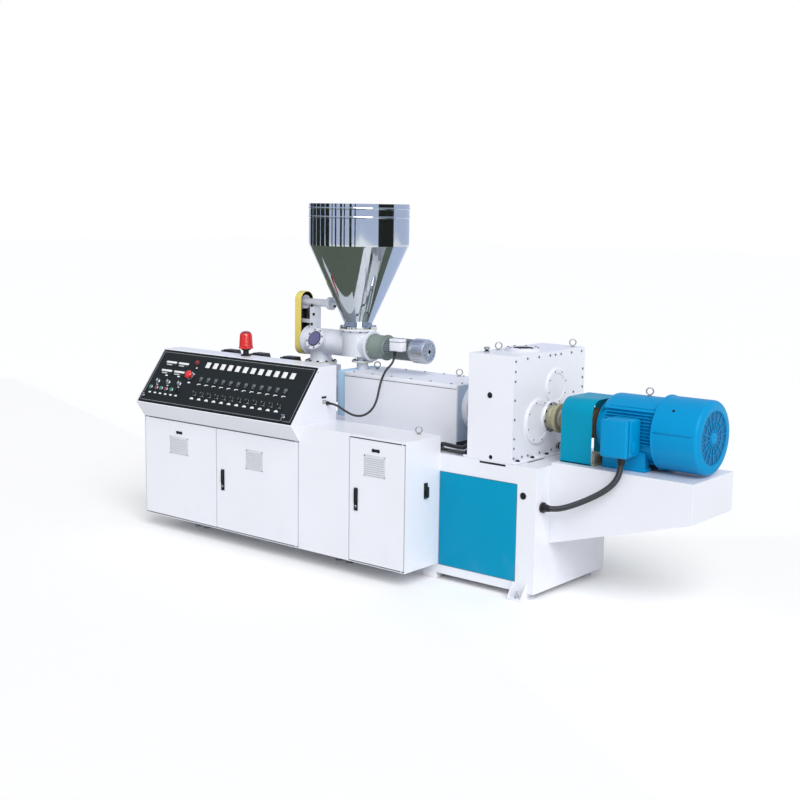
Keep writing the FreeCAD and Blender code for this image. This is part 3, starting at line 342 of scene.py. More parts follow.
# Each node keeps its shape, with its finish and its sharp edges just broken.
def paintNode(name, finish):
    item = nodes[name]
    item.data.materials.clear()
    item.data.materials.append(finishes[finish])
    weld = item.modifiers.new("join", "WELD")
    weld.merge_threshold = 0.00005
    edge = item.modifiers.new("edges", "BEVEL")
    edge.width = 0.0015
    edge.segments = 2
    edge.limit_method = "ANGLE"
    edge.angle_limit = math.radians(32)
    edge.harden_normals = False


for name, finish in nodeFinish.items():
    paintNode(name, finish)
print("materials on", len(nodeFinish), "pieces")


# Shapes that repeats copy. They are cleared away at the end.
templates = []


# Collects solid shapes for one piece. Shapes go where the seat matrix puts them.
class Stock:
    def __init__(self, *finishNames):
        self.mesh = bmesh.new()
        self.finishNames = finishNames
        self.seat = Matrix()

    def block(self, low, high, paint=0, soft=0.0015, steps=2):
        low, high = Vector(low), Vector(high)
        size = high - low
        where = self.seat @ Matrix.Translation((low + high) / 2) @ Matrix.Diagonal((*size, 1.0))
        made = bmesh.ops.create_cube(self.mesh, size=1.0, matrix=where)
        edges = {edge for vert in made["verts"] for edge in vert.link_edges}
        for face in {face for vert in made["verts"] for face in vert.link_faces}:
            face.material_index = paint
        soft = min(soft, 0.45 * min(size))
        bmesh.ops.bevel(self.mesh, geom=list(edges), offset=soft, segments=steps, profile=0.5,
                        affect="EDGES", clamp_overlap=True)

    # A closed turned shape: the profile is (along, radius) pairs, with an optional paint number.
    def turned(self, profile, centre, direction=(0, 0, 1), paint=0, count=48):
        along = Vector(direction).normalized()
        side = along.orthogonal().normalized()
        other = along.cross(side)
        rings = []
        for spot in profile:
            middle = Vector(centre) + along * spot[0]
            if spot[1] < 1e-6:
                rings.append([self.mesh.verts.new(self.seat @ middle)])
                continue
            angles = [2 * math.pi * number / count for number in range(count)]
            rings.append([self.mesh.verts.new(self.seat @ (
                middle + side * math.cos(angle) * spot[1] + other * math.sin(angle) * spot[1]))
                for angle in angles])
        for spot, first, second in zip(profile[1:] + profile[:1], rings, rings[1:] + rings[:1]):
            if len(first) == 1 and len(second) == 1:
                continue
            for number in range(count):
                onward = (number + 1) % count
                corners = [first[number % len(first)], first[onward % len(first)],
                           second[onward % len(second)], second[number % len(second)]]
                corners = list(dict.fromkeys(corners))
                face = self.mesh.faces.new(corners)
                face.material_index = spot[2] if len(spot) > 2 else paint

    # A closed profile swept round the X axis through part of a turn, measured from straight up.
    def saddle(self, profile, centre, first, last, paint=0, steps=28):
        rings = []
        for number in range(steps + 1):
            angle = first + (last - first) * number / steps
            rings.append([self.mesh.verts.new(self.seat @ (Vector(centre) + Vector(
                (along, math.sin(angle) * radius, math.cos(angle) * radius)))) for along, radius in profile])
        faces = [self.mesh.faces.new(rings[0]), self.mesh.faces.new(rings[-1])]
        for under, over in zip(rings, rings[1:]):
            for number in range(len(profile)):
                onward = (number + 1) % len(profile)
                faces.append(self.mesh.faces.new([under[number], under[onward], over[onward], over[number]]))
        for face in faces:
            face.material_index = paint

    # A flat outline in the seat's XY, raised from low to high.
    def prism(self, outline, low, high, paint=0):
        under = [self.mesh.verts.new(self.seat @ Vector((*spot, low))) for spot in outline]
        over = [self.mesh.verts.new(self.seat @ Vector((*spot, high))) for spot in outline]
        faces = [self.mesh.faces.new(under), self.mesh.faces.new(over)]
        for number in range(len(outline)):
            onward = (number + 1) % len(outline)
            faces.append(self.mesh.faces.new([under[number], under[onward], over[onward], over[number]]))
        for face in faces:
            face.material_index = paint

    # A closed band between two outlines with as many points each.
    def band(self, outer, inner, low, high, paint=0):
        loops = [[self.mesh.verts.new(self.seat @ Vector((*spot, level))) for spot in outline]
                 for outline, level in ((outer, low), (outer, high), (inner, high), (inner, low))]
        for first, second in zip(loops, loops[1:] + loops[:1]):
            for number in range(len(first)):
                onward = (number + 1) % len(first)
                face = self.mesh.faces.new([first[number], first[onward], second[onward], second[number]])
                face.material_index = paint

    # A round bar along a line of points.
    def rod(self, points, radius, paint=0, count=12):
        points = [Vector(point) for point in points]
        side = None
        rings = []
        for number, point in enumerate(points):
            before = points[max(number - 1, 0)]
            after = points[min(number + 1, len(points) - 1)]
            along = (after - before).normalized()
            side = along.orthogonal() if side is None else side - along * side.dot(along)
            side = side.normalized()
            other = along.cross(side)
            reach = radius(number) if callable(radius) else radius
            rings.append([self.mesh.verts.new(self.seat @ (
                point + side * math.cos(2 * math.pi * turn / count) * reach
                + other * math.sin(2 * math.pi * turn / count) * reach)) for turn in range(count)])
        for first, second in zip(rings, rings[1:]):
            for turn in range(count):
                onward = (turn + 1) % count
                face = self.mesh.faces.new([first[turn], first[onward], second[onward], second[turn]])
                face.material_index = paint
        for ring in (rings[0], rings[-1]):
            self.mesh.faces.new(ring).material_index = paint

    def ring(self, centre, direction, radius, wire, paint=0, count=40, sides=10):
        along = Vector(direction).normalized()
        profile = [(wire * math.sin(2 * math.pi * turn / sides), radius + wire * math.cos(
            2 * math.pi * turn / sides)) for turn in range(sides)]
        self.turned(profile, centre, along, paint, count)

    def toMesh(self, name, sharp=32):
        bmesh.ops.recalc_face_normals(self.mesh, faces=self.mesh.faces)
        mesh = bpy.data.meshes.new(name)
        self.mesh.to_mesh(mesh)
        self.mesh.free()
        for finishName in self.finishNames:
            mesh.materials.append(finishes[finishName])
        for polygon in mesh.polygons:
            polygon.use_smooth = True
        mesh.set_sharp_from_angle(angle=math.radians(sharp))
        return mesh

    def piece(self, name, slot, body="machine", replaces=(), sharp=32):
        return asPiece(name, self.toMesh(name, sharp), body, replaces)

    def template(self, name):
        item = bpy.data.objects.new(name, self.toMesh(name))
        bpy.context.scene.collection.objects.link(item)
        templates.append(item)
        return item


def asPiece(name, mesh, body="machine", replaces=()):
    piece = bpy.data.objects.new(name, mesh)
    bpy.context.scene.collection.objects.link(piece)
    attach(piece, body)
    if replaces:
        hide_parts(*replaces)
    return piece


def seatAt(place, xAxis, zAxis):
    zAxis = Vector(zAxis).normalized()
    xAxis = Vector(xAxis).normalized()
    yAxis = zAxis.cross(xAxis)
    turn = Matrix((xAxis, yAxis, zAxis)).transposed().to_4x4()
    return Matrix.Translation(place) @ turn


# An outline with rounded ends, as a guard or a belt has: its two centres lie on the second axis.
def slotOutline(radius, low, high, steps=24, wide=None):
    spots = []
    for number in range(steps + 1):
        angle = math.pi * number / steps
        spots.append((radius * math.cos(angle), high + radius * math.sin(angle)))
    lowRadius = wide or radius
    for number in range(steps + 1):
        angle = math.pi + math.pi * number / steps
        spots.append((lowRadius * math.cos(angle), low + lowRadius * math.sin(angle)))
    return spots


# Repeats in geometry nodes: each tree starts with the same inputs.
def startTree(name, inputs):
    tree = bpy.data.node_groups.new(name, "GeometryNodeTree")
    tree.interface.new_socket("Geometry", in_out="INPUT", socket_type="NodeSocketGeometry")
    for label, kind in inputs:
        tree.interface.new_socket(label, in_out="INPUT", socket_type="NodeSocket" + kind)
    tree.interface.new_socket("Geometry", in_out="OUTPUT", socket_type="NodeSocketGeometry")
    make = NodeMaker(tree)
    gate = tree.nodes.new("NodeGroupInput")
    given = {socket.name: Signal(make, socket) for socket in gate.outputs if socket.name}
    return make, given


# Copies the shape onto points, turns and places the lot, and makes it real.
def endTree(make, given, points, rotation):
    shape = make.node("GeometryNodeObjectInfo", {"transform_space": "ORIGINAL"},
                      {"Object": given["Shape"]}, output=4)
    copies = make.node("GeometryNodeInstanceOnPoints", None,
                       {"Points": points, "Instance": shape, "Rotation": rotation})
    placed = make.node("GeometryNodeTransform", None, {
        "Geometry": copies, "Translation": given["Place"], "Rotation": given["Turn"]})
    real = make.node("GeometryNodeRealizeInstances", None, {"Geometry": placed})
    dressed = make.node("GeometryNodeSetMaterial", None, {"Geometry": real, "Material": given["Finish"]})
    leave = make.tree.nodes.new("NodeGroupOutput")
    make.tree.links.new(dressed.socket, leave.inputs[0])
    return make.tree


commonInputs = [("Shape", "Object"), ("Finish", "Material"), ("Place", "Vector"), ("Turn", "Vector")]


# A straight row: so many, one step apart.
def rowTree():
    make, given = startTree("row", commonInputs + [("Count", "Int"), ("Step", "Vector")])
    line = make.node("GeometryNodeMeshLine", {"mode": "OFFSET", "count_mode": "TOTAL"},
                     {"Count": given["Count"], "Offset": given["Step"]})
    return endTree(make, given, line, (0.0, 0.0, 0.0))


# A ring or part of one: each copy turns to face out.
def ringTree():
    make, given = startTree("ring", commonInputs + [
        ("Count", "Int"), ("Radius", "Float"), ("First", "Float"), ("Apart", "Float")])
    index = make.node("GeometryNodeInputIndex")
    angle = index * given["Apart"] + given["First"]
    across = make.node("ShaderNodeMath", {"operation": "COSINE"}, {0: angle}) * given["Radius"]
    up = make.node("ShaderNodeMath", {"operation": "SINE"}, {0: angle}) * given["Radius"]
    spot = make.node("ShaderNodeCombineXYZ", None, {0: across, 1: up})
    points = make.node("GeometryNodePoints", None, {"Count": given["Count"], "Position": spot})
    spin = make.node("ShaderNodeCombineXYZ", None, {2: angle})
    rotation = make.node("FunctionNodeEulerToRotation", None, {0: spin})
    return endTree(make, given, points, rotation)


# Scattered spots, each copy with its own spin about its axis, as tightened screws have.
def spotTree():
    make, given = startTree("spots", commonInputs + [("Spin", "Float"), ("Seed", "Int")])
    turn = make.node("FunctionNodeRandomValue", {"data_type": "FLOAT"},
                     {"Min": 0.0, "Max": given["Spin"], "Seed": given["Seed"]}, output=1)
    spin = make.node("ShaderNodeCombineXYZ", None, {2: turn})
    rotation = make.node("FunctionNodeEulerToRotation", None, {0: spin})
    return endTree(make, given, given["Geometry"], rotation)


trees = {"row": rowTree(), "ring": ringTree(), "spots": spotTree()}


# Runs one of the trees on a few spots and keeps the result as a plain mesh.
def repeated(name, kind, shape, finishName, slot, body="machine", spots=None, replaces=(), **inputs):
    base = bpy.data.meshes.new(name + "Base")
    base.from_pydata(spots or [(0, 0, 0)], [], [])
    holder = bpy.data.objects.new(name + "Holder", base)
    bpy.context.scene.collection.objects.link(holder)
    modifier = holder.modifiers.new("repeat", "NODES")
    modifier.node_group = trees[kind]
    values = {"Shape": shape, "Finish": finishes[finishName], "Place": (0.0, 0.0, 0.0),
              "Turn": (0.0, 0.0, 0.0)}
    values.update({key.capitalize(): value for key, value in inputs.items()})
    for socket in trees[kind].interface.items_tree:
        if socket.in_out == "INPUT" and socket.name in values:
            modifier[socket.identifier] = values[socket.name]
    bpy.context.view_layer.update()
    graph = bpy.context.evaluated_depsgraph_get()
    mesh = bpy.data.meshes.new_from_object(holder.evaluated_get(graph))
    mesh.name = name
    holder.modifiers.clear()
    bpy.data.objects.remove(holder)
    mesh.set_sharp_from_angle(angle=math.radians(32))
    return asPiece(name, mesh, body, replaces)


# Fasteners used all over.
def hexHead(name, radius, height, finishName="darkBolt"):
    stock = Stock(finishName)
    stock.turned([(0, 0), (0, radius * 1.25), (height * 0.22, radius * 1.25), (height * 0.22, radius),
                  (height * 0.85, radius), (height, radius * 0.8), (height, 0)], (0, 0, 0), count=6)
    return stock.template(name)


def capHead(name, radius, height, finishName="darkBolt"):
    stock = Stock(finishName)
    stock.turned([(0, 0), (0, radius), (height * 0.8, radius), (height, radius * 0.85),
                  (height, radius * 0.5), (height * 0.45, radius * 0.5), (height * 0.45, 0)],
                 (0, 0, 0), count=14)
    return stock.template(name)


faceRight = (0.0, math.pi / 2, 0.0)
faceFront = (math.pi / 2, 0.0, 0.0)
smallBolt = hexHead("smallBolt", 0.0058, 0.005)
mediumBolt = hexHead("mediumBolt", 0.0085, 0.008)
bigBolt = hexHead("bigBolt", 0.0110, 0.010)
panelScrew = capHead("panelScrew", 0.0045, 0.003)

# The cord routes, end to end, in metres.
cordSetups = {
    "motorConduit": {
        "node": "motor_conduit", "diameter": 0.034, "length": 0.625, "stiffness": "stiff", "rib": 0.0055,
        "points": [(1.5136, -0.105, 0.880), (1.5136, -0.105, 0.805), (1.4836, -0.1125, 0.735),
                   (1.4246, -0.119, 0.681), (1.3506, -0.128, 0.634), (1.2746, -0.138, 0.593),
                   (1.1986, -0.148, 0.559), (1.1256, -0.1545, 0.538), (1.0636, -0.1545, 0.538)]},
    "feederCable": {
        "node": "feeder_cable", "diameter": 0.014, "length": 0.755, "stiffness": "medium",
        "points": [(-0.4554, -0.2877, 0.9837), (-0.401, -0.2877, 0.9837), (-0.3401, -0.2757, 0.9506),
                   (-0.2832, -0.2532, 0.9215), (-0.2283, -0.2257, 0.9214), (-0.1879, -0.190, 0.9573),
                   (-0.1801, -0.151, 1.0182), (-0.1982, -0.109, 1.0871), (-0.214, -0.066, 1.1435),
                   (-0.219, -0.022, 1.1905), (-0.2184, 0.0172, 1.2123), (-0.2182, 0.0448, 1.2354),
                   (-0.2182, 0.060, 1.268), (-0.2182, 0.060, 1.303)]},
}


# The route as an open smooth spline through its control points.
def routeCurve(name, setup):
    curve = bpy.data.curves.new(name, "CURVE")
    curve.dimensions = "3D"
    spline = curve.splines.new("NURBS")
    spline.points.add(len(setup["points"]) - 1)
    for knot, place in zip(spline.points, setup["points"]):
        knot.co = (*place, 1.0)
    spline.order_u = 3
    spline.use_endpoint_u = True
    spline.resolution_u = 16
    piece = bpy.data.objects.new(name, curve)
    bpy.context.scene.collection.objects.link(piece)
    return piece


# Points along the spline, evenly spaced.
def followRoute(piece, spacing):
    bpy.context.view_layer.update()
    graph = bpy.context.evaluated_depsgraph_get()
    line = bpy.data.meshes.new_from_object(piece.evaluated_get(graph))
    spots = [vert.co.copy() for vert in line.vertices]
    bpy.data.meshes.remove(line)
    total = sum((after - before).length for before, after in zip(spots, spots[1:]))
    count = round(total / spacing)
    even, passed, leg = [spots[0]], 0.0, 0
    for number in range(1, count):
        goal = total * number / count
        while passed + (spots[leg + 1] - spots[leg]).length < goal:
            passed += (spots[leg + 1] - spots[leg]).length
            leg += 1
        share = (goal - passed) / (spots[leg + 1] - spots[leg]).length
        even.append(spots[leg].lerp(spots[leg + 1], share))
    return even + [spots[-1]]


def layCord(name, setup):
    piece = routeCurve(name, setup)
    path = None
    if "rib" in setup:  # a corrugated conduit, ring after ring along the route
        path = followRoute(piece, setup["rib"] / 4)
        bpy.data.objects.remove(piece)
        crest = setup["diameter"] / 2
        tube = Stock("conduitGrey")
        tube.rod(path, lambda number: crest - (0.0, 0.0005, 0.0018, 0.0005)[number % 4], 0, 20)
        piece = bpy.data.objects.new(name, tube.toMesh(name, 50))
        bpy.context.scene.collection.objects.link(piece)
    else:
        piece.data.bevel_depth = setup["diameter"] / 2
        piece.data.bevel_resolution = 5
        piece.data.use_fill_caps = True
        piece.data.materials.append(finishes["sheath"])
    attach(piece, "machine")
    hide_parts(setup["node"])


for name, setup in cordSetups.items():
    layCord(name, setup)
print("cords laid")

# The sloping desk: local x along the machine, y up the slope, z out of the face.
deskSetup = {
    "lip": (0.0, -0.6095, 0.8757), "slope": math.radians(53.1),
    "left": -1.91395, "right": -0.48655, "low": 0.0136, "high": 0.4107,
    "first": -1.4239, "step": 0.07045, "count": 12,
    "controllerUp": 0.3364, "meterUp": 0.2265, "tickUp": 0.1886, "switchUp": 0.1186, "labelUp": 0.0836,
}


def deskStock(*finishNames):
    stock = Stock(*finishNames)
    stock.seat = Matrix.Translation(deskSetup["lip"]) @ Matrix.Rotation(deskSetup["slope"], 4, "X")
    return stock


def deskRow(name, template, finishName, slot="black_plastic"):
    setup = deskSetup
    lip = setup["lip"]
    return repeated(name, "row", template, finishName, slot, "desk", count=setup["count"],
                    step=(setup["step"], 0.0, 0.0), place=(setup["first"], lip[1], lip[2]),
                    turn=(setup["slope"], 0.0, 0.0))


def dome(width, height, steps=12):
    return [(width / 2 * math.cos(math.pi * number / steps), height * math.sin(math.pi * number / steps))
            for number in range(steps + 1)]


def oval(middle, width, height, steps=20):
    return [(middle[0] + width / 2 * math.cos(2 * math.pi * number / steps),
             middle[1] + height / 2 * math.sin(2 * math.pi * number / steps)) for number in range(steps)]


def makeControllers(setup):
    up = setup["controllerUp"]
    bezel = Stock("blackPlastic")
    bezel.block((-0.026, up - 0.026, -0.002), (0.026, up + 0.026, 0.003), soft=0.003)
    deskRow("controllerBezels", bezel.template("bezel"), "blackPlastic")
    face = Stock("labelWhite")
    face.block((-0.0190, up - 0.0215, 0.002), (0.0190, up + 0.0215, 0.0062), soft=0.002)
    face.block((-0.014, up + 0.002, 0.005), (0.014, up + 0.016, 0.0068), soft=0.0008)
    for number in range(4):
        left = -0.0150 + 0.0080 * number
        face.block((left, up - 0.017, 0.005), (left + 0.0058, up - 0.011, 0.0072), soft=0.0008)
    deskRow("controllerFaces", face.template("controller"), "labelWhite")


def makeAmmeters(setup):
    up = setup["meterUp"]
    meter = Stock("meterGlass")
    meter.block((-0.017, up - 0.021, -0.002), (0.017, up + 0.021, 0.0045), soft=0.003)
    deskRow("ammeters", meter.template("meter"), "meterGlass")
    scale = Stock("scaleGrey")
    scale.block((-0.013, up - 0.002, 0.004), (0.013, up + 0.015, 0.0053), soft=0.001)
    scale.block((-0.008, up - 0.016, 0.004), (0.004, up - 0.0085, 0.0053), soft=0.001)
    deskRow("ammeterScales", scale.template("scale"), "scaleGrey")
    up = setup["tickUp"]
    tick = Stock("labelWhite")
    tick.prism([(-0.016, up - 0.005), (-0.008, up - 0.0055), (-0.004, up + 0.0005), (0.017, up + 0.001),
                (0.017, up + 0.0055), (-0.010, up + 0.0055)], -0.001, 0.0012)
    deskRow("meterLabels", tick.template("tick"), "labelWhite")


def makeSwitches(setup):
    up = setup["switchUp"]
    base = Stock("blackPlastic")
    base.turned([(-0.002, 0), (-0.002, 0.0155), (0.003, 0.0155), (0.004, 0.0135), (0.004, 0.0105),
                 (0.013, 0.0095), (0.0145, 0.008), (0.0145, 0)], (0.004, up, 0), count=24)
    base.block((-0.0005, up - 0.0125, 0.004), (0.0085, up + 0.0125, 0.019), soft=0.0025)
    deskRow("rotarySwitches", base.template("switch"), "blackPlastic")
    mark = Stock("dimGrey")
    mark.block((0.0030, up + 0.001, 0.018), (0.0050, up + 0.012, 0.0196), soft=0.0004)
    mark.prism(oval((-0.013, up + 0.017), 0.006, 0.006, 10), -0.001, 0.001)
    mark.prism(oval((0.020, up - 0.011), 0.010, 0.005, 10), -0.001, 0.001)
    mark.ring((0.004, up, 0.0035), (0, 0, 1), 0.0146, 0.0007, count=24, sides=6)
    deskRow("switchMarks", mark.template("mark"), "dimGrey")
    up = setup["labelUp"]
    label = Stock("labelWhite")
    label.prism([(x, up - 0.007 + y) for x, y in dome(0.034, 0.0145)], -0.001, 0.0014)
    deskRow("switchLabels", label.template("halfLabel"), "labelWhite")


# Displays, meters, lamps and knobs at the left, and the two clasps.
def makeDeskLeft():
    sign = deskStock("blackPlastic", "labelWhite", "meterGlass", "brightSteel", "redCap", "greenCap",
                     "dimRedCap", "dimGrey")
    for left, right, up in ((-1.8313, -1.7263, 0.3247), (-1.7088, -1.6057, 0.3247),
                            (-1.8371, -1.7321, 0.2586), (-1.7117, -1.6067, 0.2586)):
        sign.block((left - 0.003, up - 0.028, -0.002), (right + 0.003, up + 0.013, 0.003), 0, 0.002)
        sign.block((left, up - 0.0085, 0.001), (right, up + 0.0085, 0.0048), 1, 0.0015)
        sign.block((left + 0.012, up - 0.025, 0.001), (right - 0.038, up - 0.013, 0.0042), 7, 0.001)
        for number in range(3):
            spot = right - 0.012 - number * 0.009
            sign.turned([(0.001, 0), (0.001, 0.003), (0.005, 0.003), (0.006, 0.002), (0.006, 0)],
                        (spot, up - 0.019, 0), paint=2, count=10)
    for middle, size in (((-1.7681, 0.2236), (0.026, 0.010)), ((-1.6485, 0.2265), (0.026, 0.010)),
                         ((-1.5240, 0.1935), (0.028, 0.011))):
        sign.prism(oval(middle, *size), -0.001, 0.0014, 1)
    for x in (-1.8439, -1.7914, -1.7389, -1.6864, -1.6339, -1.5814):
        sign.prism(oval((x, 0.0846), 0.026, 0.0115), -0.001, 0.0014, 1)
    for x, up in ((-1.8177, 0.1721), (-1.7146, 0.1740), (-1.6047, 0.1731)):
        sign.turned([(-0.001, 0), (-0.001, 0.0165), (0.003, 0.0165), (0.005, 0.014), (0.005, 0.0105),
                     (0.016, 0.0095), (0.018, 0.008), (0.018, 0)], (x, up, 0), paint=3, count=28)
        sign.block((x - 0.002, up - 0.001, 0.016), (x + 0.002, up + 0.0145, 0.0195), 1, 0.0006)
        sign.prism(oval((x + 0.006, up - 0.024), 0.020, 0.006), -0.001, 0.0012, 1)
    for x, paint in ((-1.8556, 5), (-1.7992, 6), (-1.7516, 5), (-1.7030, 6), (-1.6485, 5)):
        sign.turned([(-0.001, 0), (-0.001, 0.0150), (0.004, 0.0150), (0.006, 0.0125, 3), (0.006, 0.0105, 3),
                     (0.011, 0.0100, paint), (0.0135, 0.0075, paint), (0.0145, 0, paint)],
                    (x, 0.1225, 0), paint=3, count=24)
    sign.turned([(-0.001, 0), (-0.001, 0.0150), (0.004, 0.0150), (0.006, 0.0125), (0.012, 0.0115),
                 (0.012, 0)], (-1.5882, 0.1225, 0), paint=0, count=24)
    sign.block((-1.5922, 0.109, 0.010), (-1.5842, 0.136, 0.021), 0, 0.0025)
    sign.turned([(-0.001, 0), (-0.001, 0.0175), (0.004, 0.0175), (0.006, 0.014, 6), (0.012, 0.0125, 6),
                 (0.015, 0.008, 6), (0.016, 0, 6)], (-1.5386, 0.3452, 0), paint=3, count=28)
    sign.turned([(-0.001, 0), (-0.001, 0.006), (0.003, 0.0055), (0.004, 0)], (-1.5202, 0.3063, 0),
                paint=1, count=16)
    sign.turned([(-0.001, 0), (-0.001, 0.0300), (0.002, 0.0300), (0.004, 0.0260, 3), (0.004, 0.0175, 3),
                 (0.016, 0.0165, 4), (0.018, 0.0265, 4), (0.026, 0.0275, 4), (0.033, 0.0210, 4),
                 (0.036, 0.0100, 4), (0.0365, 0, 4)], (-1.5435, 0.2440, 0), paint=3, count=40)
    sign.prism(oval((-1.5160, 0.2600), 0.016, 0.009), -0.001, 0.0014, 1)
    for x, up in ((-1.8877, 0.0583), (-0.5663, 0.0544)):
        sign.turned([(-0.001, 0), (-0.001, 0.0125), (0.003, 0.0125), (0.005, 0.010), (0.005, 0)],
                    (x, up, 0), paint=3, count=24)
        sign.block((x - 0.0045, up - 0.034, 0.003), (x + 0.0045, up + 0.006, 0.013), 3, 0.002)
        sign.block((x - 0.018, up + 0.001, 0.005), (x + 0.018, up + 0.011, 0.014), 3, 0.0025)
    sign.piece("deskInstruments", "black_plastic", "desk")


# A thin raised line just inside the desk's edge.
def makeDeskTrim(setup):
    trim = deskStock("trimGrey")
    left, right = setup["left"] + 0.012, setup["right"] - 0.012
    low, high = setup["low"] + 0.010, setup["high"] - 0.010
    outer = [(left, low), (right, low), (right, high), (left, high)]
    inner = [(left + 0.0022, low + 0.0022), (right - 0.0022, low + 0.0022),
             (right - 0.0022, high - 0.0022), (left + 0.0022, high - 0.0022)]
    trim.band(outer, inner, -0.001, 0.0011)
    trim.piece("deskTrim", "desk_charcoal", "desk")


makeControllers(deskSetup)
makeAmmeters(deskSetup)
makeSwitches(deskSetup)
makeDeskLeft()
makeDeskTrim(deskSetup)
print("desk instruments made")

# Doors: louvre panels, blank plates and swing handles.
doorSetup = {
    "face": -0.5375,
    "louvres": {
        "leftLouvre": ("left_door", -1.6631, -1.4929, 0.5510, 0.6570),
        "rightLouvre": ("right_door", -0.9329, -0.7919, 0.5432, 0.6589),
        "cabinetLouvre": ("small_door", 0.0598, 0.2115, 0.6443, 0.7600)},
    "plates": {"leftPlate": ("left_door", -1.5746, 0.6929), "cabinetPlate": ("small_door", 0.1434, 0.7950)},
    "handles": {"consoleLever": ("right_door", "console_door_handle", -1.1527, 0.4353),
                "cabinetLever": ("small_door", "cabinet_door_handle", -0.00625, 0.4858)},
}


def makeLouvres(setup):
    face = setup["face"]
    for name, (body, left, right, low, high) in setup["louvres"].items():
        plate = Stock("louvreGrey")
        plate.block((left - 0.006, face - 0.0012, low - 0.006), (right + 0.006, face + 0.001, high + 0.006),
                    soft=0.0008)
        plate.piece(name + "Plate", "console_white", body)
        count = 9
        pitch = (high - low) / count
        blade = Stock("louvreGrey")
        blade.seat = seatAt((0, face, low), (0, 1, 0), (1, 0, 0))
        blade.prism([(0.0005, 0.0), (-0.0048, 0.0012), (-0.0052, 0.0022), (-0.0020, pitch * 0.62),
                     (0.0005, pitch * 0.72)], left, right)
        repeated(name + "Blades", "row", blade.template(name + "Blade"), "louvreGrey", "console_white",
                 body, count=count, step=(0.0, 0.0, pitch))
        corners = [(x, z, 0) for x in (left - 0.001, right + 0.001) for z in (low - 0.001, high + 0.001)]
        repeated(name + "Screws", "spots", panelScrew, "brightSteel", "console_white", body,
                 spots=corners, place=(0.0, face - 0.0012, 0.0), turn=faceFront, spin=3.0, seed=4)


def makeLockPlates(setup):
    face = setup["face"]
    for name, (body, x, z) in setup["plates"].items():
        plate = Stock("blackPlastic")
        plate.block((x - 0.030, face - 0.003, z - 0.0085), (x + 0.030, face + 0.001, z + 0.0085), soft=0.003)
        plate.turned([(0, 0), (0, 0.0105), (0.0036, 0.0105), (0.0044, 0.0095), (0.0044, 0)],
                     (x - 0.019, face + 0.0005, z), (0, -1, 0), count=20)
        plate.turned([(0, 0), (0, 0.0105), (0.0036, 0.0105), (0.0044, 0.0095), (0.0044, 0)],
                     (x + 0.019, face + 0.0005, z), (0, -1, 0), count=20)
        plate.piece(name, "black_plastic", body)


def makeLevers(setup):
    face = setup["face"]
    for name, (body, node, x, z) in setup["handles"].items():
        lever = Stock("blackPlastic", "brightSteel")
        for half, out, back, low, high, soft in (
                (0.0145, 0.0060, 0.0010, -0.069, 0.069, 0.004),
                (0.0100, 0.0136, -0.0040, -0.020, 0.062, 0.0035),
                (0.0080, 0.0120, -0.0040, 0.046, 0.0655, 0.003)):
            lever.block((x - half, face - out, z + low), (x + half, face + back, z + high), 0, soft, 3)
        lever.turned([(0, 0), (0, 0.0095), (0.005, 0.0090), (0.0062, 0.0078), (0.0062, 0.0040),
                      (0.0045, 0.0038), (0.0045, 0)], (x, face - 0.0050, z - 0.043), (0, -1, 0), 1, 24)
        lever.block((x - 0.0012, face - 0.0118, z - 0.047), (x + 0.0012, face - 0.0085, z - 0.039), 0, 0.0004)
        lever.piece(name, "black_plastic", body, (node,))


makeLouvres(doorSetup)
makeLockPlates(doorSetup)
makeLevers(doorSetup)
print("doors dressed")

# Console sides, beacon and feet.
consoleSetup = {
    "cheek": -0.47295, "cheekPlate": (-0.316, 1.0226), "gland": (-0.2877, 0.9836),
    "isolator": (0.37005, -0.353, 0.5626), "beacon": (-1.2333, -0.2508, 1.2150),
    "feetX": (-1.6615, -1.5695, -0.3535, -0.2656), "feetY": -0.2975,
}


def makeCheekFittings(setup):
    cheek = setup["cheek"]
    y, z = setup["cheekPlate"]
    plate = Stock("blackPlastic", "dimGrey")
    plate.block((cheek - 0.001, y - 0.021, z - 0.0065), (cheek + 0.0035, y + 0.021, z + 0.0065), 0, 0.002)
    plate.block((cheek - 0.001, y - 0.012, z - 0.040), (cheek + 0.0025, y + 0.020, z - 0.018), 1, 0.002)
    plate.piece("cheekPlate", "black_plastic")
    y, z = setup["gland"]
    gland = Stock("blackPlastic")
    gland.turned([(0, 0), (0, 0.0136), (0.005, 0.0136)], (cheek, y, z), (1, 0, 0), count=6)
    gland.turned([(0.004, 0), (0.004, 0.0125), (0.010, 0.0125), (0.0125, 0.0110), (0.0175, 0.0085),
                  (0.034, 0.0076), (0.034, 0)], (cheek, y, z), (1, 0, 0), count=24)
    gland.piece("cableGland", "black_plastic", "machine", ("cable_gland",))


def makeIsolator(setup):
    x, y, z = setup["isolator"]
    knob = Stock("blackPlastic", "brightSteel")
    knob.block((x, y - 0.0165, z - 0.0475), (x + 0.006, y + 0.0165, z + 0.0475), 0, 0.002)
    knob.turned([(0.005, 0), (0.005, 0.0140), (0.013, 0.0130), (0.014, 0.0115), (0.014, 0)],
                (x, y, z + 0.012), (1, 0, 0), 0, 28)
    knob.block((x + 0.012, y - 0.0055, z - 0.038), (x + 0.0265, y + 0.0055, z + 0.026), 0, 0.0035, 3)
    for side in (-1, 1):
        knob.turned([(0.005, 0), (0.005, 0.0035), (0.0078, 0.0030), (0.0078, 0)],
                    (x, y + 0.0105 * side, z + 0.040 * side), (1, 0, 0), 1, 12)
    knob.piece("isolatorKnob", "black_plastic", "machine", ("isolator_handle",))


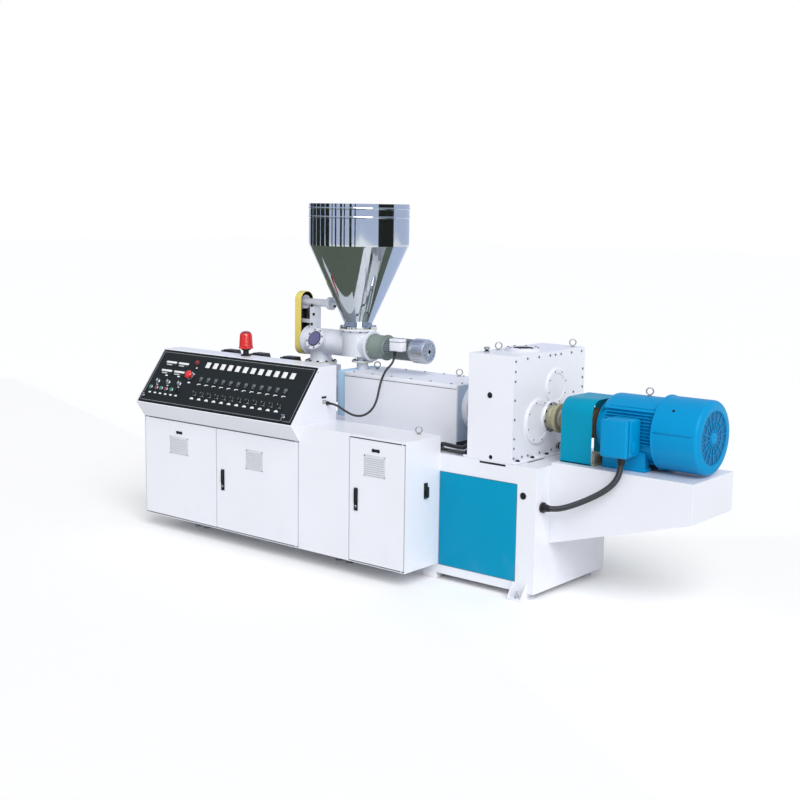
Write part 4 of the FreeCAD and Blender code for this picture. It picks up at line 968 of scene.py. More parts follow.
def makeBeacon(setup):
    x, y, z = setup["beacon"]
    stem = Stock("blackPlastic")
    stem.turned([(0, 0), (0, 0.034), (0.006, 0.034), (0.010, 0.0300), (0.010, 0.0200), (0.034, 0.0185),
                 (0.038, 0.030), (0.0486, 0.034), (0.0486, 0)], (x, y, z), count=36)
    stem.piece("beaconStem", "black_plastic", "machine", ("beacon_base",))
    lens = Stock("domeRed", "dimRedCap")
    profile = [(0.0486, 0), (0.0486, 0.0478), (0.0510, 0.0486), (0.0585, 0.0486), (0.0610, 0.0462)]
    for number in range(8):
        level, reach = 0.062 + number * 0.0095, 0.0446 - number * 0.0006
        profile += [(level, reach), (level + 0.0045, reach + 0.0010), (level + 0.0085, reach)]
    profile += [(0.142, 0.0385), (0.150, 0.0345), (0.157, 0.0270, 1), (0.1615, 0.0140, 1), (0.1632, 0, 1)]
    lens.turned(profile, (x, y, z), count=48)
    lens.piece("beaconDome", "beacon_red", "machine", ("beacon_lens",))


def makeConsoleFeet(setup):
    foot = Stock("brightSteel")
    foot.turned([(0, 0), (0, 0.0215), (0.004, 0.0220), (0.010, 0.0215), (0.020, 0.0120), (0.024, 0.0080),
                 (0.058, 0.0080), (0.058, 0.0140), (0.072, 0.0140), (0.072, 0.0080), (0.100, 0.0080),
                 (0.100, 0)], (0, 0, 0), count=24)
    repeated("consoleFeet", "spots", foot.template("footShape"), "brightSteel", "bright_steel",
             spots=[(x, setup["feetY"], 0) for x in setup["feetX"]], replaces=("levelling_feet",),
             spin=1.0, seed=2)


makeCheekFittings(consoleSetup)
makeIsolator(consoleSetup)
makeBeacon(consoleSetup)
makeConsoleFeet(consoleSetup)
print("console dressed")

# Bolts on a face that looks right: the spots are (y, z) pairs.
def rightBolts(name, template, x, spots, finishName="darkBolt", seed=1, slot="bright_steel"):
    return repeated(name, "spots", template, finishName, slot, spots=[(-z, y, 0) for y, z in spots],
                    place=(x, 0.0, 0.0), turn=faceRight, spin=2.0, seed=seed)


# Bolts on a face that looks to the front: the spots are (x, z) pairs.
def frontBolts(name, template, y, spots, finishName="darkBolt", seed=1, slot="bright_steel"):
    return repeated(name, "spots", template, finishName, slot, spots=[(x, z, 0) for x, z in spots],
                    place=(0.0, y, 0.0), turn=faceFront, spin=2.0, seed=seed)


# Bolts on a level face: the spots are (x, y) pairs.
def topBolts(name, template, z, spots, finishName="darkBolt", seed=1, slot="bright_steel"):
    return repeated(name, "spots", template, finishName, slot, spots=[(x, y, 0) for x, y in spots],
                    place=(0.0, 0.0, z), spin=2.0, seed=seed)


def boltRing(name, template, centre, turn, radius, count, first=0.0, finishName="darkBolt",
             slot="bright_steel"):
    return repeated(name, "ring", template, finishName, slot, place=centre, turn=turn, count=count,
                    radius=radius, first=first, apart=2 * math.pi / count)


# Main gearbox.
gearboxSetup = {
    "right": 0.87155, "front": -0.2115, "left": 0.56055, "back": 0.5465, "top": 1.381, "foot": 0.767,
    "lowCover": (0.0455, 0.985, 0.133), "highCover": (0.2295, 1.170, 0.112),
    "edgeLevels": (1.352, 1.294, 1.238, 1.131, 1.021, 0.910, 0.856, 0.799),
    "topSpots": (-0.0757, 0.0416, 0.1591, 0.2144, 0.2744, 0.3924, 0.5050),
    "footSpots": (-0.1079, -0.0474, 0.0745, 0.2009, 0.3300, 0.4400),
    "inputCentre": (0.1675, 0.998),
}


def makeGearboxBolts(setup):
    right, front = setup["right"], setup["front"]
    spots = [(front + 0.020, z) for z in setup["edgeLevels"]]
    spots += [(y, 1.359) for y in setup["topSpots"]]
    spots += [(setup["back"] - 0.022, z) for z in (1.2506, 1.1986, 1.1411, 1.021, 0.910, 0.856, 0.799)]
    spots += [(y, 0.797) for y in setup["footSpots"]] + [(0.4249, 1.1196), (0.4249, 0.9000)]
    rightBolts("gearboxBolts", smallBolt, right, spots, "mutedBolt")
    leftSpots = [(y, z) for y, z in spots if z > 1.15 or z < 0.85]
    repeated("gearboxLeftBolts", "spots", mediumBolt, "darkBolt", "bright_steel",
             spots=[(z, y, 0) for y, z in leftSpots], place=(setup["left"], 0.0, 0.0),
             turn=(0.0, -math.pi / 2, 0.0), spin=2.0, seed=5)


def makeCoverRims(setup):
    right = setup["right"]
    for name, (y, z, radius) in (("low", setup["lowCover"]), ("high", setup["highCover"])):
        boltRing(name + "CoverBolts", smallBolt, (right + 0.009, y, z), faceRight, radius - 0.018, 8, 0.3,
                 "mutedBolt")
        rim = Stock("consoleWhite")
        rim.turned([(0.0, radius - 0.034), (0.0, radius - 0.004), (0.011, radius - 0.004),
                    (0.013, radius - 0.007), (0.013, radius - 0.031), (0.011, radius - 0.034)],
                   (right, y, z), (1, 0, 0), count=96)
        rim.piece(name + "CoverRim", "console_white")


# The two plugs on the front face, and dark strips in the foot below it: painted shade in its slots.
def makeGearboxPlugs(setup):
    front = setup["front"]
    plug = Stock("darkBolt", "consoleWhite")
    plug.turned([(0, 0, 1), (0, 0.0180, 1), (0.0015, 0.0175, 1), (0.002, 0.0140), (0.006, 0.0132),
                 (0.008, 0.0100), (0.008, 0)], (0.7141, front, 1.1479), (0, -1, 0), 0, 24)
    plug.turned([(0, 0, 1), (0, 0.0130, 1), (0.002, 0.0125, 1), (0.0025, 0.0070), (0.005, 0.0065),
                 (0.005, 0)], (0.7298, front, 0.7920), (0, -1, 0), 0, 16)
    plug.piece("gearboxPlug", "bright_steel")
    # Thin black strips stand in for the open slots: painted shade.
    slots = Stock("blackPlastic")
    slots.block((0.6555, -0.2171, 0.7505), (0.8365, -0.2160, 0.7625), 0, 0.0005)
    slots.block((0.9020, -0.0950, 0.7668), (0.9140, 0.0700, 0.7676), 0, 0.0003)
    slots.piece("footSlots", "black_plastic")


def makeGearboxFoot(setup):
    right, front = setup["right"], setup["front"]
    flange = Stock("consoleWhite")
    low = setup["foot"]
    for x0, x1, y0, y1 in ((right - 0.004, right + 0.030, front, setup["back"]),
                           (setup["left"] - 0.030, setup["left"] + 0.004, front, setup["back"])):
        flange.block((x0, y0, low), (x1, y1, low + 0.014), 0, 0.003)
    flange.piece("gearboxFootFlanges", "console_white")
    footColumns = (right + 0.016, setup["left"] - 0.016)
    footRows = (-0.170, -0.020, 0.130, 0.350, 0.505)
    topBolts("gearboxFootBolts", bigBolt, low + 0.014, [(x, y) for x in footColumns for y in footRows])
    cap = Stock("labelWhite", "blackPlastic")
    cap.turned([(0, 0, 1), (0, 0.020, 1), (0.012, 0.020, 1), (0.013, 0.014), (0.026, 0.014), (0.030, 0.010),
                (0.030, 0)], (right, 0.2900, 0.8100), (1, 0, 0), 0, 24)
    cap.block((right, 0.2500, 0.8000), (right + 0.010, 0.2660, 0.8200), 1, 0.002)
    cap.piece("oilTap", "black_plastic")


def makeInputBoss(setup):
    right = setup["right"]
    y, z = setup["inputCentre"]
    boss = Stock("brightSteel", "consoleWhite", "mossSteel")
    boss.turned([(0.0, 0.086, 1), (0.0, 0.094, 1), (0.016, 0.094, 1), (0.019, 0.089, 1), (0.022, 0.087, 0)],
                (right, y, z), (1, 0, 0), 0, 72)
    boss.turned([(0.022, 0.0625), (0.022, 0.072, 2), (0.040, 0.072, 2), (0.046, 0.066, 2), (0.090, 0.064, 2),
                 (0.090, 0.0625)], (right, y, z), (1, 0, 0), 2, 72)
    boss.turned([(0.069, 0.0620), (0.069, 0.0862), (0.0915, 0.0862), (0.0918, 0.0560), (0.0905, 0.0560)],
                (right, y, z), (1, 0, 0), 2, 72)
    boss.piece("inputBoss", "bright_steel")
    boltRing("inputBossBolts", smallBolt, (right + 0.021, y, z), faceRight, 0.079, 8, 0.2)


def makeTopFittings(setup):
    top = setup["top"]
    # A near-black disc stands in for the open bore in the top cover: painted shade.
    lid = Stock("wellBlack")
    lid.turned([(0.0, 0), (0.0, 0.0615), (0.0142, 0.0615), (0.0150, 0.0590), (0.0150, 0)],
               (0.7160, 0.1085, top + 0.0002), (0, 0, 1), 0, 48)
    lid.piece("filterWell", "black_plastic")
    boltRing("topCoverBolts", smallBolt, (0.7160, 0.1085, top + 0.016), (0.0, 0.0, 0.0), 0.090, 8, 0.4,
             "mutedBolt")
    breather = Stock("brightSteel", "darkBolt")
    breather.turned([(0, 0), (0, 0.016), (0.006, 0.016), (0.006, 0.0105, 1), (0.016, 0.0105, 1),
                     (0.018, 0.0175), (0.028, 0.0175), (0.032, 0.012), (0.032, 0)], (0.6300, -0.1350, top),
                    (0, 0, 1), 0, 24)
    breather.piece("breatherCap", "bright_steel")


makeGearboxBolts(gearboxSetup)
makeCoverRims(gearboxSetup)
makeGearboxPlugs(gearboxSetup)
makeGearboxFoot(gearboxSetup)
makeInputBoss(gearboxSetup)
makeTopFittings(gearboxSetup)
print("main gearbox dressed")

# Lifting eyes, on both gearboxes, the cabinet and the motor.
eyeSetup = {
    "spots": ((0.6125, 0.0075, 1.381), (0.8195, 0.4875, 1.381), (-0.51045, 0.2395, 1.150),
              (0.10555, 0.3115, 1.150), (0.25205, -0.2745, 0.8738), (1.52255, 0.1675, 1.188)),
    "ring": 0.0190, "wire": 0.0038, "lift": 0.0262, "facing": (0.45, -0.90, 0.0),
}


def makeEyes(setup):
    eye = Stock("eyeSteel")
    eye.turned([(0.0, 0), (0.0, 0.0125), (0.0025, 0.0125), (0.0045, 0.0085), (0.0050, 0.0058),
                (0.0110, 0.0052), (0.0110, 0)], (0, 0, 0), count=20)
    eye.ring((0, 0, setup["lift"]), setup["facing"], setup["ring"], setup["wire"], count=36, sides=12)
    repeated("liftingEyes", "spots", eye.template("eyeShape"), "eyeSteel", "bright_steel",
             spots=list(setup["spots"]), replaces=("lifting_eyes",), spin=0.3, seed=3)


makeEyes(eyeSetup)

# Distribution gearbox, its coupling ring, and the oil pipes beside it.
dividerSetup = {
    "left": -0.56245, "right": 0.33555, "front": -0.0225, "back": 0.3575, "top": 1.150, "low": 0.767,
    "centre": (0.1675, 1.000),
    "pipes": (
        (0.0125, ((0.272, -0.088, 0.768), (0.272, -0.088, 0.800), (0.390, -0.122, 0.800),
                  (0.480, -0.136, 0.800), (0.510, -0.136, 0.826), (0.559, -0.136, 0.828))),
        (0.0110, ((0.276, -0.155, 0.768), (0.276, -0.155, 0.785), (0.400, -0.178, 0.784),
                  (0.500, -0.186, 0.784), (0.559, -0.186, 0.788)))),
}


# A blue-grey sheet over the distribution gearbox's right end is painted shade.
def makeDividerEnd(setup):
    right, front, back = setup["right"], setup["front"], setup["back"]
    end = Stock("shadeBlue", "blackPlastic")
    end.block((right - 0.001, front + 0.012, setup["low"] + 0.040), (right + 0.0025, back - 0.012, 1.142),
              0, 0.0012)
    end.block((right - 0.001, front, setup["low"]), (right + 0.004, back, setup["low"] + 0.038), 1, 0.002)
    end.piece("dividerEndPlate", "panel_blue")


def makeCoupling(setup):
    right = setup["right"]
    y, z = setup["centre"]
    collar = Stock("consoleWhite", "blackPlastic")
    collar.turned([(0.0, 0.118), (0.0, 0.139), (0.003, 0.141), (0.036, 0.141), (0.040, 0.138),
                   (0.040, 0.118)], (right, y, z), (1, 0, 0), 0, 96)
    collar.turned([(0.0405, 0.0885, 1), (0.0405, 0.117, 1), (0.044, 0.117, 1), (0.044, 0.0885, 1)],
                  (right, y, z), (1, 0, 0), 1, 72)
    collar.turned([(0.180, 0.0885), (0.180, 0.128), (0.184, 0.131), (0.2245, 0.131), (0.2245, 0.0885)],
                  (right, y, z), (1, 0, 0), 0, 96)
    collar.piece("couplingCollar", "console_white")
    stud = Stock("labelWhite")
    stud.turned([(0, 0), (0, 0.0135), (0.012, 0.0135), (0.018, 0.0110), (0.018, 0.006), (0.030, 0.006),
                 (0.030, 0)], (0, 0, 0), count=16)
    boltRing("couplingStuds", stud.template("studShape"), (right + 0.042, y, z), faceRight, 0.103, 10, 0.15,
             "labelWhite")


def makeDividerLid(setup):
    left, right, front, back = setup["left"], setup["right"], setup["front"], setup["back"]
    lid = Stock("consoleWhite", "blackPlastic")
    lid.block((left + 0.004, front - 0.0035, 1.126), (right - 0.002, front + 0.004, 1.1495), 0, 0.002)
    lid.block((left + 0.004, front - 0.0012, 1.1225), (right - 0.002, front + 0.003, 1.1255), 1, 0.0003)
    lid.piece("dividerLid", "console_white")
    spots = [(left + 0.060 + number * 0.156, front + 0.022) for number in range(6)]
    spots += [(spot[0], back - 0.022) for spot in spots]
    spots += [(right - 0.022, y) for y in (0.060, 0.167, 0.275)]
    topBolts("dividerTopBolts", smallBolt, setup["top"], spots, "mutedBolt")


# Each pipe bends smoothly through the middles of its legs, with a nut at each end.
def makeOilPipes(setup):
    pipes = Stock("pipeBlack", "darkBolt")
    for radius, route in setup["pipes"]:
        points = [Vector(point) for point in route]
        smooth = []
        for before, middle, after in zip(points, points[1:], points[2:]):
            first, last = (before + middle) / 2, (middle + after) / 2
            for step in range(7):
                share = step / 7
                rest = 1 - share
                smooth.append(first * rest ** 2 + middle * 2 * share * rest + last * share ** 2)
        pipes.rod([points[0]] + smooth + [points[-1]], radius, 0, 16)
        low, end = points[0], points[-1]
        pipes.turned([(0, 0), (0, radius * 1.9), (0.010, radius * 1.9), (0.010, radius * 1.4),
                      (0.018, radius * 1.4), (0.018, 0)], (low.x, low.y, setup["low"]), (0, 0, 1), 1, 6)
        pipes.turned([(-0.026, 0), (-0.026, radius * 1.5), (-0.008, radius * 1.5), (-0.008, radius * 1.9),
                      (0.001, radius * 1.9), (0.001, 0)], (0.5600, end.y, end.z), (1, 0, 0), 1, 6)
    pipes.piece("oilPipes", "black_plastic")


# The adapter's pale blue is painted shade.
def makeAdapterSkin():
    band = Stock("paleBlue")
    band.block((-0.6405, -0.0058, 0.857), (-0.5635, 0.3405, 1.1515), 0, 0.004)
    band.piece("adapterSkin", "adapter_blue", "machine", ("barrel_adapter",))


makeDividerEnd(dividerSetup)
makeCoupling(dividerSetup)
makeDividerLid(dividerSetup)
makeOilPipes(dividerSetup)
makeAdapterSkin()
print("distribution gearbox dressed")

# Base panels, plug and feet.
baseSetup = {
    "front": -0.2165, "back": 0.5515, "left": 0.25255,
    "panel": (0.37355, 0.91855, 0.097, 0.660), "plug": (0.9626, 0.6000),
    "footLeft": 0.90755, "footRight": 1.00755, "padHeight": 0.040, "padDepth": 0.070, "reach": 0.058,
    "rise": 0.095,
}


def makeBasePanels(setup):
    front, back = setup["front"], setup["back"]
    left, right, low, high = setup["panel"]
    for name, face, way in (("frontPanel", front, -1), ("backPanel", back, 1)):
        skin = Stock("panelBlue", "seamGrey")
        seat = Matrix(((1, 0, 0, 0), (0, 0, way, face), (0, 1, 0, 0), (0, 0, 0, 1)))
        skin.seat = seat
        skin.block((left + 0.002, low + 0.002, 0.001), (right - 0.002, high - 0.002, 0.0062), 0, 0.0025, 3)
        outer = [(left - 0.0025, low - 0.0025), (right + 0.0025, low - 0.0025),
                 (right + 0.0025, high + 0.0025), (left - 0.0025, high + 0.0025)]
        inner = [(left, low), (right, low), (right, high), (left, high)]
        skin.band(outer, inner, -0.001, 0.0012, 1)
        skin.piece(name, "panel_blue")


def makeBasePlug(setup):
    x, z = setup["plug"]
    plug = Stock("blackPlastic")
    plug.turned([(0, 0), (0, 0.0200), (0.003, 0.0200), (0.005, 0.0180), (0.005, 0.0145), (0.003, 0.0130),
                 (0.003, 0)], (x, setup["front"], z), (0, -1, 0), 0, 36)
    plug.piece("basePlug", "black_plastic")


def makeBaseFeet(setup):
    feet = Stock("consoleWhite", "brightSteel")
    for way, face in ((-1, setup["front"]), (1, setup["back"])):
        edge = face + way * setup["reach"]
        y0, y1 = sorted((edge, face - way * setup["padDepth"]))
        feet.block((setup["footLeft"], y0, 0.0), (setup["footRight"], y1, 0.012), 0, 0.002)
        y0, y1 = sorted((face, face - way * setup["padDepth"]))
        feet.block((setup["footLeft"] + 0.006, y0, 0.010),
                   (setup["footRight"] - 0.006, y1, setup["padHeight"]), 0, 0.002)
        for x in (setup["footLeft"] + 0.002, setup["footRight"] - 0.010):
            feet.seat = seatAt((x, face, 0.012), (0, way, 0), (way, 0, 0))
            rise = setup["rise"] - 0.012
            feet.prism([(-0.001, 0), (setup["reach"] - 0.002, 0), (setup["reach"] - 0.004, 0.012),
                        (0.004, rise), (-0.001, rise)], *sorted((0.0, 0.008 * way)))
            feet.seat = Matrix()
        middle = (setup["footLeft"] + setup["footRight"]) / 2
        feet.turned([(0.010, 0), (0.010, 0.016), (0.014, 0.016), (0.014, 0.0125), (0.024, 0.0125),
                     (0.024, 0.0070), (0.052, 0.0070), (0.054, 0)], (middle, face + way * 0.032, 0),
                    (0, 0, 1), 1, 6)
        feet.block((setup["left"], y0, 0.0), (setup["left"] + 0.100, y1, 0.0405), 0, 0.003)
    feet.piece("baseFeet", "console_white", "machine", ("base_feet",))


makeBasePanels(baseSetup)
makeBasePlug(baseSetup)
makeBaseFeet(baseSetup)
print("base dressed")

# Hopper: a smooth turned shell with its neck, flange and beads.
hopperSetup = {
    "x": -0.61745, "y": 0.1675, "neck": 0.084, "low": 1.415, "flange": 0.122, "flangeTop": 1.429,
    "cone": 1.950, "wide": 0.324, "top": 2.216, "wall": 0.003, "beads": (2.131, 2.186), "bead": 0.0034,
}


def makeHopper(setup):
    wall, wide, neck = setup["wall"], setup["wide"], setup["neck"]
    slope = (wide - neck) / (setup["cone"] - setup["flangeTop"])
    outside = [(setup["low"], neck), (setup["flangeTop"] + 0.002, neck)]
    outside += [(setup["cone"] - drop, wide - drop * slope) for drop in (0.012, 0.0025, 0.0005)]
    outside += [(setup["cone"] + 0.001, wide), (setup["cone"] + 0.010, wide)]
    for level in setup["beads"]:
        outside.append((level - 0.0130, wide))
        for number in range(9):
            angle = math.pi * number / 8
            outside.append((level - 0.007 * math.cos(angle), wide + setup["bead"] * math.sin(angle)))
        outside.append((level + 0.0130, wide))
    outside += [(setup["top"] - 0.001, wide), (setup["top"], wide - 0.001)]
    inside = [(setup["top"], wide - wall + 0.001), (setup["top"] - 0.001, wide - wall),
              (setup["cone"] + 0.001, wide - wall), (setup["flangeTop"] + 0.002, neck - wall),
              (setup["low"], neck - wall)]
    shell = Stock("mirrorSteel")
    shell.turned([(level, radius) for level, radius in outside + inside], (setup["x"], setup["y"], 0),
                 count=160)
    shell.turned([(setup["low"], neck - 0.001), (setup["low"], setup["flange"] - 0.001),
                  (setup["low"] + 0.001, setup["flange"]), (setup["flangeTop"] - 0.001, setup["flange"]),
                  (setup["flangeTop"], setup["flange"] - 0.001), (setup["flangeTop"], neck - 0.001)],
                 (setup["x"], setup["y"], 0), count=96)
    shell.piece("hopperShell", "stainless", "machine", ("hopper",), 24)


makeHopper(hopperSetup)
print("hopper made")

# Feeder: flanges, sight glass, painted shade inside the guard, pulleys, belts and reducer rims.
feederSetup = {
    "axis": (0.1675, 1.305), "outlet": (-0.94745, 0.108, 1.146, 1.174), "tee": (-0.61745, 0.122, 1.401),
    "leg": (-0.57745, 0.070, 1.196),
    "guard": {"left": -1.13245, "right": -1.07645, "low": 1.265, "high": 1.572, "radius": 0.060},
    "pulleys": (-1.1214, -1.0874), "upper": (1.560, 0.046), "lower": (1.305, 0.040),
    "sight": (-0.90745, 0.0606, 1.3309), "reducer": -0.48245, "shaftEnd": -1.0524,
}


def makeFeederRims(setup):
    axisY = setup["axis"][0]
    x, radius, low, high = setup["outlet"]
    rims = Stock("gasketYellow")
    rims.turned([(low - 0.0004, radius - 0.028), (low - 0.0004, radius + 0.0006),
                 (low + 0.0060, radius + 0.0006), (low + 0.0065, radius - 0.028)], (x, axisY, 0), count=72)
    rims.turned([(high - 0.0062, radius - 0.028), (high - 0.0060, radius + 0.0004),
                 (high - 0.0004, radius + 0.0004), (high - 0.0004, radius - 0.028)], (x, axisY, 0), count=72)
    x2, radius2, low2 = setup["tee"]
    rims.turned([(low2 + 0.0125, 0.090), (low2 + 0.0125, radius2 + 0.0004),
                 (low2 + 0.0150, radius2 + 0.0004), (low2 + 0.0150, 0.090)], (x2, axisY, 0), count=72)
    x3, radius3, low3 = setup["leg"]
    rims.turned([(low3 - 0.0002, radius3 - 0.014), (low3 - 0.0002, radius3 + 0.0005),
                 (low3 + 0.004, radius3 + 0.0005), (low3 + 0.004, radius3 - 0.014)], (x3, axisY, 0), count=60)
    rims.piece("feederRims", "cast_grey")
    boltRing("outletBolts", mediumBolt, (x, axisY, high), (0.0, 0.0, 0.0), radius - 0.014, 10, 0.2)
    boltRing("outletNuts", mediumBolt, (x, axisY, low), (math.pi, 0.0, 0.0), radius - 0.014, 10, 0.2)
    boltRing("teeNuts", mediumBolt, (x2, axisY, low2), (math.pi, 0.0, 0.0), radius2 - 0.014, 10, 0.1,
             "mutedBolt")
    boltRing("teeBolts", smallBolt, (x2, axisY, 1.429), (0.0, 0.0, 0.0), radius2 - 0.014, 10, 0.1,
             "mutedBolt")
    boltRing("legBolts", smallBolt, (x3, axisY, low3 + 0.012), (0.0, 0.0, 0.0), radius3 - 0.010, 8, 0.1)


def makeSight(setup):
    sx, sy, sz = setup["sight"]
    tilt = math.radians(65)
    facing = Vector((0, -math.cos(math.radians(25)), math.sin(math.radians(25))))
    boltRing("sightBolts", smallBolt, (sx, sy, sz), (tilt, 0.0, 0.0), 0.0640, 8, 0.3, "mutedBolt")
    sight = Stock("sightRing")
    sight.turned([(-0.002, 0.042), (-0.002, 0.0525), (0.0030, 0.0525), (0.0045, 0.0500), (0.0045, 0.0450),
                  (0.0025, 0.0440)], (sx, sy, sz), facing, 0, 60)
    sight.piece("sightRim", "cast_grey")


# A black lining inside the yellow guard stands in for the shade in it: painted shade.
def makeGuardLiner(setup):
    axisY = setup["axis"][0]
    guard = setup["guard"]
    insideShade = Stock("guardBlack")
    insideShade.seat = seatAt((0, axisY, 0), (0, 1, 0), (1, 0, 0))
    insideShade.band(slotOutline(guard["radius"] - 0.0033, guard["low"], guard["high"]),
               slotOutline(guard["radius"] - 0.0052, guard["low"], guard["high"]),
               guard["left"] + 0.004, guard["right"] - 0.001)
    insideShade.prism(slotOutline(guard["radius"] - 0.0040, guard["low"], guard["high"]),
                guard["left"] + 0.0031, guard["left"] + 0.0046)
    insideShade.band(slotOutline(guard["radius"] - 0.0012, guard["low"], guard["high"]),
               slotOutline(guard["radius"] - 0.0052, guard["low"], guard["high"]),
               guard["right"] - 0.0025, guard["right"] - 0.0004)
    insideShade.piece("guardLiner", "black_plastic")


def makePulleys(setup):
    axisY = setup["axis"][0]
    left, right = setup["pulleys"]
    wheels = Stock("brightSteel", "mossSteel")
    for level, radius in (setup["upper"], setup["lower"]):
        profile = [(0.0, radius - 0.012), (0.0, radius)]
        for number in range(2):
            start = 0.0035 + number * 0.0145
            profile += [(start, radius), (start + 0.0035, radius - 0.009), (start + 0.0085, radius - 0.009),
                        (start + 0.012, radius)]
        profile += [(right - left, radius), (right - left, radius - 0.012), (0.026, radius - 0.014),
                    (0.026, 0.020), (0.0375, 0.0190), (0.0375, 0), (0.002, 0), (0.002, radius - 0.014)]
        wheels.turned(profile, (left, axisY, level), (1, 0, 0), 0, 60)
    shaft = setup["shaftEnd"] - right
    wheels.turned([(0.0, 0), (0.0, 0.0135), (shaft, 0.0135), (shaft, 0)],
                  (right, axisY, setup["lower"][0]), (1, 0, 0), 1, 24)
    wheels.piece("pulleys", "bright_steel")
    belts = Stock("beltBlack")
    belts.seat = seatAt((0, axisY, 0), (0, 1, 0), (1, 0, 0))
    low, high = setup["lower"][0], setup["upper"][0]
    for number in range(2):
        start = left + 0.0048 + number * 0.0145
        belts.band(slotOutline(0.0475, low, high, wide=0.0415), slotOutline(0.0380, low, high, wide=0.0320),
                   start, start + 0.0094)
    belts.piece("driveBelts", "belt_rubber")


def makeStirrerFittings(setup):
    axisY = setup["axis"][0]
    frontBolts("postBolts", mediumBolt, 0.1367, [(-0.985, 1.4826), (-1.003, 1.4159), (-1.003, 1.540)],
               seed=6)
    collars = Stock("sightRing")
    for level in (1.600, 1.5475):
        collars.turned([(0, 0.002), (0, 0.0105), (0.0052, 0.0105), (0.0052, 0.002)],
                       (-0.815, axisY - 0.010, level - 0.004), (0.2, -0.6, 0.7), 0, 20)
    collars.piece("stirrerFittings", "cast_grey")


def makeReducerRims(setup):
    axisY, axisZ = setup["axis"]
    left = setup["reducer"]
    ribs = Stock("reducerGrey")
    for profile in ([(0.0, 0.0765), (0.0, 0.0828), (0.011, 0.0828), (0.013, 0.0765)],
                    [(0.107, 0.0765), (0.109, 0.0826), (0.120, 0.0826), (0.120, 0.0765)]):
        ribs.turned(profile, (left, axisY, axisZ), (1, 0, 0), 0, 60)
    ribs.piece("reducerRims", "reducer_grey")
    boltRing("reducerBolts", smallBolt, (left + 0.013, axisY, axisZ), faceRight, 0.0790, 8, 0.39,
             "brightSteel")


makeFeederRims(feederSetup)
makeSight(feederSetup)
makeGuardLiner(feederSetup)
makePulleys(feederSetup)
makeStirrerFittings(feederSetup)
makeReducerRims(feederSetup)
print("feeder dressed")

# Feeder motor: fins, fan cowl with its slits and grille as painted shade, terminal box and gland.
smallMotorSetup = {
    "left": -0.36245, "right": -0.13345, "axis": (0.1675, 1.305), "core": 0.058, "fin": 0.0695, "fins": 34,
    "cowlEnd": -0.02345, "cowl": 0.0778, "box": (-0.2519, 0.0415, 1.303, -0.1519, 0.0975, 1.381),
    "gland": (-0.2182, 0.060, 1.303),
}


def makeSmallMotorBody(setup):
    y, z = setup["axis"]
    left, right = setup["left"], setup["right"]
    core = Stock("finDark")
    core.turned([(0, 0), (0, 0.0690), (0.014, 0.0690), (0.016, setup["core"]),
                 (right - left - 0.016, setup["core"]), (right - left - 0.014, 0.0690),
                 (right - left, 0.0690), (right - left, 0)], (left, y, z), (1, 0, 0), 0, 60)
    core.piece("smallMotorCore", "small_motor", "machine", ("feeder_motor",))
    fin = Stock("finDark")
    fin.block((setup["core"] - 0.004, -0.0012, 0.014), (setup["fin"], 0.0012, right - left - 0.014),
              0, 0.0006, 1)
    repeated("smallMotorFins", "ring", fin.template("smallFin"), "finDark", "small_motor",
             place=(left, y, z), turn=faceRight, count=setup["fins"], radius=0.0, first=0.05,
             apart=2 * math.pi / setup["fins"])


# The cowl's slits and the ring behind the spokes are dark blue patches: painted shade in the openings.
def makeSmallCowl(setup):
    y, z = setup["axis"]
    right = setup["right"]
    end = setup["cowlEnd"] - right
    reach = setup["cowl"]
    cowl = Stock("castAlloy", "slitBlue")
    cowl.turned([(0, 0.060), (0, reach - 0.003), (0.003, reach - 0.0006), (0.012, reach),
                 (end - 0.020, reach), (end - 0.008, reach - 0.004), (end - 0.001, reach - 0.013),
                 (end, reach - 0.018), (end, 0.0)], (right, y, z), (1, 0, 0), 0, 64)
    cowl.turned([(end - 0.0010, 0.0130), (end, 0.0130), (end + 0.0002, 0.0560), (end - 0.0010, 0.0560)],
                (right, y, z), (1, 0, 0), 1, 48)
    cowl.piece("smallFanCowl", "small_motor")
    spoke = Stock("castAlloy")
    spoke.block((0.011, -0.0021, -0.0008), (0.0585, 0.0021, 0.0008), 0, 0.0006, 1)
    repeated("smallGrilleSpokes", "ring", spoke.template("smallSpoke"), "castAlloy", "small_motor",
             place=(setup["cowlEnd"] - 0.0004, y, z), turn=faceRight, count=12, radius=0.0, first=0.1,
             apart=math.pi / 6)
    slit = Stock("slitBlue")
    slit.block((reach - 0.0030, -0.0024, 0.024), (reach + 0.0001, 0.0024, 0.078), 0, 0.0008, 1)
    repeated("smallCowlSlits", "ring", slit.template("smallSlit"), "slitBlue", "small_motor",
             place=(right, y, z), turn=faceRight, count=24, radius=0.0, first=0.13, apart=math.pi / 12)


